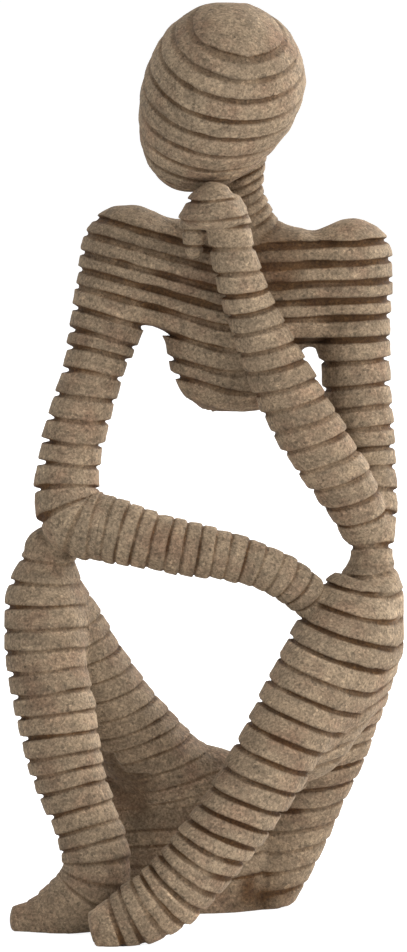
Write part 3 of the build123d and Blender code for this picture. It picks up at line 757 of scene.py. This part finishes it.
def rest_blend(points):
    """The arms lie on the right knee and grow into the left one."""
    return REST_BLEND + (STEM_BLEND - REST_BLEND) * smooth_step(*STEM_SIDE, points[:, 0])


def group_blend(points):
    return GROUP_BLEND


GROUPS = [
    (UPPER_BODY, group_blend), (["head"], group_blend), (LOWER_BODY, rest_blend), (RAISED_ARM, group_blend),
]


def knee_plane(shin, thigh):
    """The knee's top and the direction in which shin and thigh part there."""
    top = shin.line[0, :3]
    mid_shin = place(RIGHT_SHIN_SHARES if shin is right_shin else LEFT_SHIN_SHARES)[MID_LEG]
    mid_thigh = place(RIGHT_THIGH_SHARES if thigh is right_thigh else LEFT_THIGH_SHARES)[MID_LEG]
    return top, unit(unit(mid_shin - top) - unit(mid_thigh - top))


right_knee = knee_plane(right_shin, right_thigh)
left_knee = knee_plane(left_shin, left_thigh)
KNEES = {
    "right_shin": ("right_thigh", right_knee, -1), "right_thigh": ("right_shin", right_knee, 1),
    "left_shin": ("left_thigh", left_knee, -1), "left_thigh": ("left_shin", left_knee, 1),
}

# Each casting: the bodies that it covers, and from where to where along them
right_shoulder, right_elbow = right_arm.stops[RIGHT_SHOULDER], right_arm.stops[RIGHT_ELBOW]
left_shoulder, left_wrist = left_arm.stops[LEFT_SHOULDER], left_forearm.stops[LEFT_WRIST]
right_ankle, left_ankle = right_shin.stops[RIGHT_ANKLE], left_shin.stops[LEFT_ANKLE]
left_hip = left_thigh.stops[LEFT_HIP]
CASTINGS = {
    "head": [("head", None, None)],
    "neck": [("neck", None, None)],
    "torso": [
        ("chest", None, None), ("yoke", None, None), ("flanks", None, None),
        ("right_arm", None, right_shoulder), ("left_arm", None, left_shoulder),
    ],
    "right_upper_arm": [("right_arm", right_shoulder, right_elbow)],
    "right_forearm": [("right_arm", right_elbow, None)],
    "left_upper_arm": [("left_arm", left_shoulder, None)],
    "left_forearm": [("left_forearm", None, left_wrist)],
    "left_hand": [("left_forearm", left_wrist, None), ("fist", None, None), ("knuckles", None, None)],
    "right_thigh": [("right_thigh", None, None)],
    "right_shin": [("right_shin", None, right_ankle)],
    "right_foot": [("right_shin", right_ankle, None)],
    "left_thigh": [("left_thigh", None, left_hip)],
    "left_shin": [("left_shin", None, left_ankle), ("left_web", None, None)],
    "left_foot": [("left_shin", left_ankle, None)],
    "seat": [("seat", None, None), ("haunch", None, None), ("left_thigh", left_hip, None)],
}


# Frame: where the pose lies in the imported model, and where the pads lie in the pose
pad_low, pad_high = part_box("seat_pad")
ORIGIN = np.array((pad_low + pad_high) / 2) / METRE - place(SEAT_SHARES)
ORIGIN[2] = 0.0
PADS = [np.array(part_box(name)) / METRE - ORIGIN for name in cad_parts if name.endswith("_pad")]
CAD_BOX = np.array([cad_low, cad_high]) / METRE - ORIGIN


def fold(first, second, blend):
    """Joins two sets of rows of values, skin first, with a fillet of this size and a narrower handover of
    the rest."""
    gap = first[0] - second[0]
    share = np.clip(0.5 + 0.5 * gap / blend, 0, 1)
    joined = first + (second - first) * np.clip(0.5 + 0.5 * gap / np.minimum(blend, HANDOVER), 0, 1)
    joined[0] = first[0] - gap * share - blend * share * (1 - share)
    return joined


def lap_hollow(points):
    """How far the stone is broken away below the right thigh's edge."""
    edge = np.array(LAP_EDGE_SHARES) * FIGURE_SIZE[[0, 2]]
    line = np.interp(points[:, 0], edge[:, 0], edge[:, 1])
    below = line + LAP_JAG * noise(points, LAP_JAG_SIZE, LAP_SEED) - points[:, 2]
    start, stop = np.array(LAP_FADE_SHARES) * FIGURE_SIZE[0]
    side = 1 - smooth_step(start, stop, points[:, 0])
    return smooth_step(0.0, LAP_STEP, below) * (1 - smooth_step(*LAP_REACH, below)) * side


def shadows_and_stains(points):
    """Darkening that the painted shadows, partly stains, add at these points."""
    total = np.zeros(len(points))
    for middle, half, front, strength in SHADOW_AND_STAIN_SHARES:
        away = (points[:, [0, 2]] / FIGURE_SIZE[[0, 2]] - middle) / half
        depth = points[:, 1] - front * FIGURE_SIZE[1]
        spread = 1 - smooth_step(SHADOW_AND_STAIN_CORE_SHARE, 1.0, np.linalg.norm(away, axis=1))
        total += strength * spread * smooth_step(0, SHADOW_AND_STAIN_EDGE, depth)
    return total * (1 + SHADOW_AND_STAIN_MOTTLE * noise(points, DENT_SIZE, SHADOW_AND_STAIN_SEED))


def chips(points):
    """1 on a pale chip and 0 away from it."""
    gaps = [np.linalg.norm(points - place(spot), axis=1) for spot in CHIP_SHARES]
    gap = np.minimum.reduce(gaps) + CHIP_MOTTLE * noise(points, CHIP_MOTTLE_SIZE, CHIP_SEED)
    return 1 - smooth_step(CHIP_CORE_SHARE * CHIP_SIZE, CHIP_SIZE, gap)


def figure(points, names, fine):
    """Distance from the whole figure's skin, the painted shade and dirt and the tone with its painted
    highlight of each point, and each body's reading.
    """
    if fine:
        bend = noise(points, BEND_SIZE, BEND_SEED)
        dent = noise(points, DENT_SIZE, DENT_SEED)
    readings = {}
    whole = None
    for group, blend_between in GROUPS:
        part = None
        for name in group:
            if name not in names:
                continue
            body = BODIES[name]
            reading = body.read(points)
            if name in ("yoke", "flanks"):
                reading.along, reading.phase = torso_count(points)
            readings[name] = reading
            rows = [reading.skin]
            if fine:
                phase = reading.phase + BEND_HEIGHT * bend / ARM_PITCH
                carved, shade_and_dirt, tone = body.rings.carve(phase, reading.along, reading.out, bend, dent)
                if name in ("seat", "haunch", "right_thigh"):
                    hollow = lap_hollow(points)
                    carved = carved + LAP_DEPTH * hollow
                    # The broken recess below the thigh's edge gets painted shade
                    shade_and_dirt = np.maximum(shade_and_dirt, LAP_SHADE * hollow)
                rows += [carved, shade_and_dirt, tone, phase]
            rows = np.stack(rows)
            blend = body.blend_at(reading) if body.blend_at else body.blend
            part = rows if part is None else fold(part, rows, blend)
        if part is not None:
            whole = part if whole is None else fold(whole, part, blend_between(points))
    total = whole[0]
    looks = None
    if fine:
        streak = np.stack([points[:, 0] / STREAK_LENGTH, points[:, 1] / STREAK_LENGTH,
                           whole[4] * ARM_PITCH / STREAK_SIZE], axis=1)
        streak = noise(streak, 1.0, STREAK_SEED)
        total = total + whole[1] + DENT_HEIGHT * dent + STREAK_HEIGHT * streak
        total = total + ROUGH_HEIGHT * noise(points, ROUGH_SIZE, ROUGH_SEED)
        chip = chips(points)
        tone = TONE_LEVEL + RING_TONE * whole[3] + STREAK_TONE * streak
        # Painted shade and dirt with the painted shadows go in the first look, the tone with its painted
        # highlight in the second; pale chips clear the first and raise the second
        looks = np.stack([(whole[2] + shadows_and_stains(points)) * (1 - chip), tone + (1 - tone) * chip], axis=1)
    soled = SOLE_HEIGHT - points[:, 2]
    share = np.clip(0.5 + 0.5 * (soled - total) / SOLE_ROUND, 0, 1)
    total = total + (soled - total) * share + SOLE_ROUND * share * (1 - share)
    for low, high in PADS:
        middle, half = (low + high) / 2, (high - low) / 2
        along = np.maximum(np.abs(points[:, 0] - middle[0]) - half[0] + half[1], 0)
        outside = np.hypot(along, points[:, 1] - middle[1]) - half[1] - PAD_CLEARANCE
        total = np.maximum(total, -np.maximum(outside, points[:, 2] - high[2]))
    for sign, corner in ((-1, CAD_BOX[0]), (1, CAD_BOX[1])):
        total = np.maximum(total, (sign * (points - corner)).max(axis=1) + BOX_CLEARANCE)
    return total, looks, readings


def territory(casting, points, readings):
    """Below zero where the figure belongs to this casting, in millimetres from its seams."""
    own = {name: (first, last) for name, first, last in CASTINGS[casting]}
    parts = []
    for name, (first, last) in own.items():
        if name not in readings:
            continue
        reading = readings[name]
        twin, knee, sign = KNEES.get(name, (None, None, 0))
        side = np.full(len(points), -FAR)
        for other, rival in readings.items():
            if other in (name, twin):
                continue
            skin = rival.skin
            if other in own:
                start, stop = own[other]
                if start is None and stop is None:
                    continue
                inside = rival.along - start if stop is None else stop - rival.along
                skin = skin + SEAM_PUSH * np.maximum(inside, 0)
            side = np.maximum(side, 0.5 * (reading.skin - skin))
        if first is not None:
            side = np.maximum(side, first - reading.along)
        if last is not None:
            side = np.maximum(side, reading.along - last)
        if knee:
            top, way = knee
            side = np.maximum(side, sign * (points - top) @ way)
        parts.append(side)
    return np.minimum.reduce(parts)


def in_chunks(work, points):
    """Runs work on the points a chunk at a time and joins what it returns."""
    pieces = [work(points[i:i + CHUNK]) for i in range(0, len(points), CHUNK)]
    return [np.concatenate(column) for column in zip(*pieces)]


def surface_net(field, origin, step):
    """Corners and four-sided faces of the surface where the field is zero."""
    inside = field < 0
    count = np.zeros(np.array(field.shape) - 1, np.int8)
    corners = list(np.ndindex(2, 2, 2))
    shape = count.shape
    for corner in corners:
        count += inside[tuple(slice(c, c + n) for c, n in zip(corner, shape))]
    cells = np.argwhere((count > 0) & (count < 8))
    number = np.full(shape, -1, np.int64)
    number[tuple(cells.T)] = np.arange(len(cells))
    spots = np.zeros((len(cells), 3))
    crossings = np.zeros(len(cells))
    for axis in range(3):
        for corner in corners:
            if corner[axis]:
                continue
            far_corner = np.array(corner)
            far_corner[axis] = 1
            near = field[tuple((cells + corner).T)]
            far = field[tuple((cells + far_corner).T)]
            crosses = (near < 0) != (far < 0)
            share = near[crosses] / (near[crosses] - far[crosses])
            spot = np.repeat(np.array(corner, float)[None], len(share), axis=0)
            spot[:, axis] = share
            spots[crosses] += spot
            crossings[crosses] += 1
    spots = origin + step * (cells + spots / crossings[:, None])
    faces = []
    for axis in range(3):
        side, other = (axis + 1) % 3, (axis + 2) % 3
        low = [slice(None)] * 3
        high = [slice(None)] * 3
        low[axis], high[axis] = slice(0, -1), slice(1, None)
        edges = np.argwhere(inside[tuple(low)] != inside[tuple(high)])
        entering = inside[tuple(edges.T)]
        around = []
        for a, b in ((1, 1), (0, 1), (0, 0), (1, 0)):
            cell = edges.copy()
            cell[:, side] -= a
            cell[:, other] -= b
            around.append(number[tuple(cell.T)])
        quads = np.stack(around, axis=1)
        faces.append(np.where(entering[:, None], quads, quads[:, ::-1]))
    return spots, np.concatenate(faces)


def largest_part(spots, faces):
    """The corners and faces of the connected parts that hold a fair share of the surface."""
    label = np.arange(len(spots))
    while True:
        lowest = label[faces].min(axis=1)
        fresh = label.copy()
        for k in range(4):
            np.minimum.at(fresh, faces[:, k], lowest)
        fresh = fresh[fresh]
        if (fresh == label).all():
            break
        label = fresh
    names, sizes = np.unique(label, return_counts=True)
    kept = np.isin(label, names[sizes > SMALLEST_PART_SHARE * len(spots)])
    number = np.cumsum(kept) - 1
    faces = number[faces[kept[faces].all(axis=1)]]
    return spots[kept], faces


def casting_surface(casting, low, high):
    """Corners and faces of one casting inside this box, and the painted shade and dirt and the tone with its
    painted highlight of each corner.
    """
    names = [name for name, body in BODIES.items() if (body.low < high).all() and (body.high > low).all()]
    blocks = np.ceil((high - low) / (STEP * BLOCK)).astype(int)
    grid = np.indices(blocks).reshape(3, -1).T

    def rough(points):
        total, _, readings = figure(points, names, False)
        level = np.maximum(total, territory(casting, points, readings) - OVERLAP)
        return level, np.stack([readings[name].skin for name in names], axis=1)

    level, skins = in_chunks(rough, low + (grid + 0.5) * STEP * BLOCK)
    near = (level > -INNER_REACH) & (level < OUTER_REACH)
    names = [name for name, skin in zip(names, skins[near].min(axis=0)) if skin < BODY_REACH]
    coarse = np.where(level < 0, -FAR, FAR).reshape(blocks)
    near = near.reshape(blocks)
    for axis in range(3):
        coarse = np.repeat(coarse, BLOCK, axis=axis)
        near = np.repeat(near, BLOCK, axis=axis)

    def close(points):
        total, _, readings = figure(points, names, True)
        side = territory(casting, points, readings)
        return (np.maximum(total + TUCK * np.maximum(side, 0), side - OVERLAP),)

    field = coarse
    spots = np.argwhere(near)
    field[tuple(spots.T)] = in_chunks(close, low + (spots + 0.5) * STEP)[0]
    field = np.pad(field, 1, constant_values=FAR)
    points, faces = largest_part(*surface_net(field, low - 0.5 * STEP, STEP))

    def looks(points):
        return (figure(points, names, True)[1],)

    return points, faces, in_chunks(looks, points)[0]


def build_mesh(name, points, faces):
    mesh = bpy.data.meshes.new(name)
    mesh.vertices.add(len(points))
    mesh.vertices.foreach_set("co", ((points + ORIGIN) * METRE).astype(np.float32).ravel())
    mesh.loops.add(faces.size)
    mesh.loops.foreach_set("vertex_index", faces.astype(np.int32).ravel())
    mesh.polygons.add(len(faces))
    mesh.polygons.foreach_set("loop_start", np.arange(0, faces.size, 4, dtype=np.int32))
    mesh.update(calc_edges=True)
    mesh.validate()
    return mesh


def add_piece(name, ending, mesh, material):
    """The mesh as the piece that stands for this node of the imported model."""
    mesh.polygons.foreach_set("use_smooth", np.ones(len(mesh.polygons), bool))
    mesh.materials.append(material)
    piece = bpy.data.objects.new(name + ending, mesh)
    bpy.context.scene.collection.objects.link(piece)
    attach(piece, "root")
    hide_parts(name)


def add_casting(name, material):
    low, high = np.array(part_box(name)) / METRE - ORIGIN
    points, faces, looks = casting_surface(name, low - MARGIN, high + MARGIN)
    mesh = build_mesh(name + "_stone", points, faces)
    for label, values in zip(("groove", "tone"), looks.T.astype(np.float32)):
        mesh.attributes.new(label, "FLOAT", "POINT").data.foreach_set("value", np.ascontiguousarray(values))
    add_piece(name, "_stone", mesh, material)


# Felt pads: slots with rounded rims, a little uneven

def pad_rows(width, height):
    """How far in from the outline and how high each row of corners lies, from under the middle to the top."""
    turns = np.radians(np.linspace(-90, 90, PAD_RIM_STEPS))
    rim = [(PAD_ROUND * (1 - math.cos(turn)), 0.5 * height + PAD_ROUND * math.sin(turn)
            + math.copysign(0.5 * height - PAD_ROUND, turn)) for turn in turns]
    insets = [share * width for share in PAD_INSET_SHARES]
    return [(inset, 0.0) for inset in insets] + rim + [(inset, height) for inset in insets[::-1]]


def add_pad(name, material):
    low, high = np.array(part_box(name)) / METRE - ORIGIN
    half = (high - low) / 2
    turns = np.arange(PAD_SIDES) * 2 * math.pi / PAD_SIDES
    rows = []
    for inset, height in pad_rows(half[1], high[2] - low[2]):
        reach = half[1] - inset
        x = np.sign(np.cos(turns)) * (half[0] - half[1]) + reach * np.cos(turns)
        rows.append(np.stack([x, reach * np.sin(turns), np.full(PAD_SIDES, height)], axis=1))
    points = np.concatenate(rows)
    felted = 0.5 * (1 + noise(points + SEED, PAD_LUMP_SIZE, PAD_SEED))
    points[:, :2] *= (1 - PAD_LUMP * felted / half[1])[:, None]
    points[:, 2] += PAD_LUMP * felted * np.sign(half[2] - points[:, 2])
    points += np.append((low + high)[:2] / 2, low[2])
    ring = list(range(PAD_SIDES))
    top = (len(rows) - 1) * PAD_SIDES
    faces = [ring[::-1]]
    for first in range(0, top, PAD_SIDES):
        second = first + PAD_SIDES
        pairs = zip(ring, ring[1:] + ring[:1])
        faces += [(first + a, first + b, second + b, second + a) for a, b in pairs]
    faces.append([top + a for a in ring])
    mesh = bpy.data.meshes.new(name + "_felt")
    mesh.from_pydata(((points + ORIGIN) * METRE).tolist(), [], faces)
    add_piece(name, "_felt", mesh, material)


# Materials: repeats per metre, and the stops of ramps as pairs of a value and a colour or a grey level
BROAD_REPEATS, SMUDGE_REPEATS, BLOTCH_REPEATS = 24.0, 75.0, 330.0
GRAIN_REPEATS, SAND_REPEATS = 1250.0, 1150.0
STONE_STOPS = [(0.30, (150, 129, 105)), (0.70, (164, 144, 119))]
REDDISH, REDDISH_STOPS = (140, 108, 86), [(0.48, 0.0), (0.70, 0.55)]
DARKER, DARKER_STOPS = (118, 100, 80), [(0.28, 0.40), (0.42, 0.0)]
BLOTCH_STOPS = [(0.32, 0.80), (0.68, 1.14)]
SAND_STOPS = [(0.0, 0.50), (0.16, 0.88), (0.84, 1.05), (1.0, 1.45)]
SAND_STRENGTH = 0.75
GRAIN_STOPS = [(0.30, 0.50), (0.66, 1.30)]
TONE_STOPS = [(0.15, 0.80), (0.80, 1.14), (1.0, 1.65)]
SHADE_AND_DIRT, SHADE_AND_DIRT_STOPS = (152, 130, 106), [(0.08, 0.0), (0.75, 1.0)]
GRAIN_RISE, SAND_RISE = 0.7, 0.3
STONE_ROUGH_STOPS = [(0.0, 0.80), (1.0, 0.96)]
STONE_BUMP, FELT_BUMP = 0.0005, 0.0003
FIBRE_REPEATS = 1400.0
FELT_STOPS = [(0.3, (58, 50, 43)), (0.75, (92, 82, 72))]
DRAWN_REPEATS = 900.0
STEEL_STOPS = [(0.3, (148, 148, 150)), (0.7, (186, 186, 188))]
STEEL_ROUGH_STOPS = [(0.3, 0.28), (0.7, 0.45)]
FLOOR_LEVEL, FLOOR_SEEN_LEVEL, FLOOR_GLOW = 0.9, 0.5, 0.93


def colour(shade):
    """A grey level as it is, or a colour from 0 to 255 as it shows on a screen, in the renderer's scale."""
    def linear(value):
        value = value / 255
        return value / 12.92 if value <= 0.04045 else ((value + 0.055) / 1.055) ** 2.4
    red, green, blue = map(linear, shade) if isinstance(shade, tuple) else [shade] * 3
    return (red, green, blue, 1.0)


class Nodes:
    """Short calls for building the nodes of one material or world."""

    def __init__(self, owner, output="ShaderNodeOutputMaterial"):
        owner.use_nodes = True
        self.owner, self.tree = owner, owner.node_tree
        self.tree.nodes.clear()
        self.output = self.add(output)

    def add(self, kind, links=None, **values):
        node = self.tree.nodes.new(kind)
        for key, value in values.items():
            setattr(node, key, value)
        for socket, source in (links or {}).items():
            if isinstance(source, bpy.types.NodeSocket):
                self.tree.links.new(source, node.inputs[socket])
            else:
                node.inputs[socket].default_value = source
        return node

    def where(self):
        return self.add("ShaderNodeTexCoord").outputs["Object"]

    def attribute(self, name):
        return self.add("ShaderNodeAttribute", attribute_name=name).outputs["Fac"]

    def noise(self, vector, repeats, detail, roughness=0.5):
        links = {"Vector": vector, "Scale": repeats, "Detail": detail, "Roughness": roughness}
        return self.add("ShaderNodeTexNoise", links).outputs["Fac"]

    def ramp(self, factor, stops):
        node = self.add("ShaderNodeValToRGB", {"Fac": factor})
        elements = node.color_ramp.elements
        while len(elements) < len(stops):
            elements.new(0.5)
        for element, (position, shade) in zip(elements, stops):
            element.position = position
            element.color = colour(shade)
        return node.outputs["Color"]

    def mix(self, factor, first, second, blend="MIX"):
        links = {0: factor, 6: first, 7: second}
        return self.add("ShaderNodeMix", links, data_type="RGBA", blend_type=blend).outputs[2]

    def multiply(self, first, second, share=1.0):
        return self.mix(share, first, second, "MULTIPLY")

    def math(self, operation, first, second):
        return self.add("ShaderNodeMath", {0: first, 1: second}, operation=operation).outputs[0]

    def bump(self, height, strength, distance):
        links = {"Strength": strength, "Distance": distance, "Height": height}
        return self.add("ShaderNodeBump", links).outputs["Normal"]

    def finish(self, shader):
        self.tree.links.new(shader.outputs[0], self.output.inputs["Surface"])
        return self.owner

    def principled(self, links):
        return self.finish(self.add("ShaderNodeBsdfPrincipled", links))


def stone_material():
    nodes = Nodes(bpy.data.materials.new("sand_resin_stone"))
    where = nodes.where()
    broad = nodes.noise(where, BROAD_REPEATS, detail=3.0)
    smudge = nodes.noise(where, SMUDGE_REPEATS, detail=4.0, roughness=0.65)
    blotch = nodes.noise(where, BLOTCH_REPEATS, detail=3.0, roughness=0.6)
    grain = nodes.noise(where, GRAIN_REPEATS, detail=3.0, roughness=0.75)
    cells = nodes.add("ShaderNodeTexVoronoi", {"Vector": where, "Scale": SAND_REPEATS}).outputs["Color"]
    sand = nodes.add("ShaderNodeSeparateColor", {"Color": cells}).outputs["Red"]
    base = nodes.ramp(broad, STONE_STOPS)
    base = nodes.mix(nodes.ramp(smudge, REDDISH_STOPS), base, colour(REDDISH))
    base = nodes.mix(nodes.ramp(smudge, DARKER_STOPS), base, colour(DARKER))
    base = nodes.multiply(base, nodes.ramp(blotch, BLOTCH_STOPS))
    base = nodes.multiply(base, nodes.ramp(sand, SAND_STOPS), SAND_STRENGTH)
    base = nodes.multiply(base, nodes.ramp(grain, GRAIN_STOPS))
    # The tone ramp's brightest stop gives the painted highlight and wear along ring edges, and the pale chips
    base = nodes.multiply(base, nodes.ramp(nodes.attribute("tone"), TONE_STOPS))
    # Painted shade and dirt in the grooves, the painted shadows and the recess's painted shade darken the
    # stone
    shade_and_dirt = nodes.ramp(nodes.attribute("groove"), SHADE_AND_DIRT_STOPS)
    base = nodes.mix(shade_and_dirt, base, nodes.multiply(base, colour(SHADE_AND_DIRT)))
    rise = nodes.math("MULTIPLY", grain, GRAIN_RISE)
    rise = nodes.math("ADD", rise, nodes.math("MULTIPLY", sand, SAND_RISE))
    return nodes.principled({
        "Base Color": base, "Roughness": nodes.ramp(sand, STONE_ROUGH_STOPS), "Specular IOR Level": 0.25,
        "Normal": nodes.bump(rise, strength=0.6, distance=STONE_BUMP),
    })


def felt_material():
    nodes = Nodes(bpy.data.materials.new("pad_felt"))
    fibre = nodes.noise(nodes.where(), FIBRE_REPEATS, detail=4.0, roughness=0.75)
    return nodes.principled({
        "Base Color": nodes.ramp(fibre, FELT_STOPS), "Roughness": 0.95, "Sheen Weight": 0.3,
        "Normal": nodes.bump(fibre, strength=0.6, distance=FELT_BUMP),
    })


def steel_material():
    nodes = Nodes(bpy.data.materials.new("dowel_steel"))
    drawn = nodes.noise(nodes.where(), DRAWN_REPEATS, detail=3.0, roughness=0.6)
    return nodes.principled({
        "Base Color": nodes.ramp(drawn, STEEL_STOPS), "Roughness": nodes.ramp(drawn, STEEL_ROUGH_STOPS),
        "Metallic": 1.0,
    })


def floor_material():
    """White to the camera, with some of the object's shadow."""
    nodes = Nodes(bpy.data.materials.new("white_floor"))
    path = nodes.add("ShaderNodeLightPath").outputs
    seen = nodes.math("MAXIMUM", path["Is Camera Ray"], path["Is Glossy Ray"])
    seen = nodes.math("MAXIMUM", seen, path["Is Transmission Ray"])
    shade = nodes.mix(seen, colour(FLOOR_LEVEL), colour(FLOOR_SEEN_LEVEL))
    lit = nodes.add("ShaderNodeBsdfDiffuse", {"Color": shade})
    strength = nodes.math("MULTIPLY", seen, FLOOR_GLOW)
    glow = nodes.add("ShaderNodeEmission", {"Color": colour(1.0), "Strength": strength})
    return nodes.finish(nodes.add("ShaderNodeAddShader", {0: lit.outputs[0], 1: glow.outputs[0]}))


# Stage, light and camera, in metres and watts
FLOOR_HALF = 14.0
AMBIENT = 0.21
LAMPS = {
    "key": ((0.90, -1.30, 0.90), 0.8, 7.0),
    "side": ((1.60, -0.50, 0.95), 0.6, 14.0),
    "fill": ((-0.45, -1.40, 1.00), 0.9, 3.0),
    "top": ((0.10, -0.30, 1.80), 0.8, 7.0),
    "rim": ((1.30, 1.20, 0.90), 0.6, 38.0),
    "back": ((-1.20, 1.30, 0.90), 0.8, 8.0),
}
LAMP_AIM = (0.0, 0.0, 0.15)
CAMERA_DISTANCE = 2.0
CAMERA_ELEVATION = 6.5
CAMERA_AIM = (-0.0003, 0.0, 0.147)
PHOTO_HEIGHT = 952
PIXELS_PER_METRE = 3070.0
SENSOR = 36.0


def add_floor():
    corners = [(x * FLOOR_HALF, y * FLOOR_HALF, 0) for x, y in ((-1, -1), (1, -1), (1, 1), (-1, 1))]
    mesh = bpy.data.meshes.new("floor")
    mesh.from_pydata(corners, [], [(0, 1, 2, 3)])
    mesh.materials.append(floor_material())
    floor = bpy.data.objects.new("floor", mesh)
    bpy.context.scene.collection.objects.link(floor)


def add_world():
    """White to the camera and in reflections, and a low light from all round."""
    nodes = Nodes(bpy.data.worlds.new("studio"), "ShaderNodeOutputWorld")
    path = nodes.add("ShaderNodeLightPath").outputs
    seen = nodes.math("MAXIMUM", path["Is Camera Ray"], path["Is Glossy Ray"])
    strength = nodes.add("ShaderNodeMapRange", {"Value": seen, "To Min": AMBIENT, "To Max": 1.0}).outputs[0]
    back = nodes.add("ShaderNodeBackground", {"Color": colour(1.0), "Strength": strength})
    bpy.context.scene.world = nodes.finish(back)


def add_aimed(name, data, spot, aim):
    """An object of this data at a spot, looking at another."""
    thing = bpy.data.objects.new(name, data)
    thing.location = spot
    thing.rotation_euler = (Vector(aim) - thing.location).to_track_quat("-Z", "Y").to_euler()
    bpy.context.scene.collection.objects.link(thing)
    return thing


def add_lamp(name, spot, size, power):
    lamp = bpy.data.lights.new(name, "AREA")
    lamp.size = size
    lamp.energy = power
    add_aimed(name, lamp, spot, LAMP_AIM)


def add_camera():
    data = bpy.data.cameras.new("camera")
    data.sensor_width = SENSOR
    data.lens = SENSOR * CAMERA_DISTANCE * PIXELS_PER_METRE / PHOTO_HEIGHT
    tilt = math.radians(CAMERA_ELEVATION)
    back = Vector((0, -math.cos(tilt), math.sin(tilt)))
    spot = Vector(CAMERA_AIM) + back * CAMERA_DISTANCE
    bpy.context.scene.camera = add_aimed("camera", data, spot, CAMERA_AIM)


stone, felt, steel = stone_material(), felt_material(), steel_material()
for casting in CASTINGS:
    add_casting(casting, stone)
for name, node in list(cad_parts.items()):
    if name.endswith("_pad"):
        add_pad(name, felt)
    elif "dowel" in name:
        node.data.materials.clear()
        node.data.materials.append(steel)

add_floor()
add_world()
for name, (spot, size, power) in LAMPS.items():
    add_lamp(name, spot, size, power)
add_camera()
bpy.context.scene.view_settings.view_transform = "Standard"
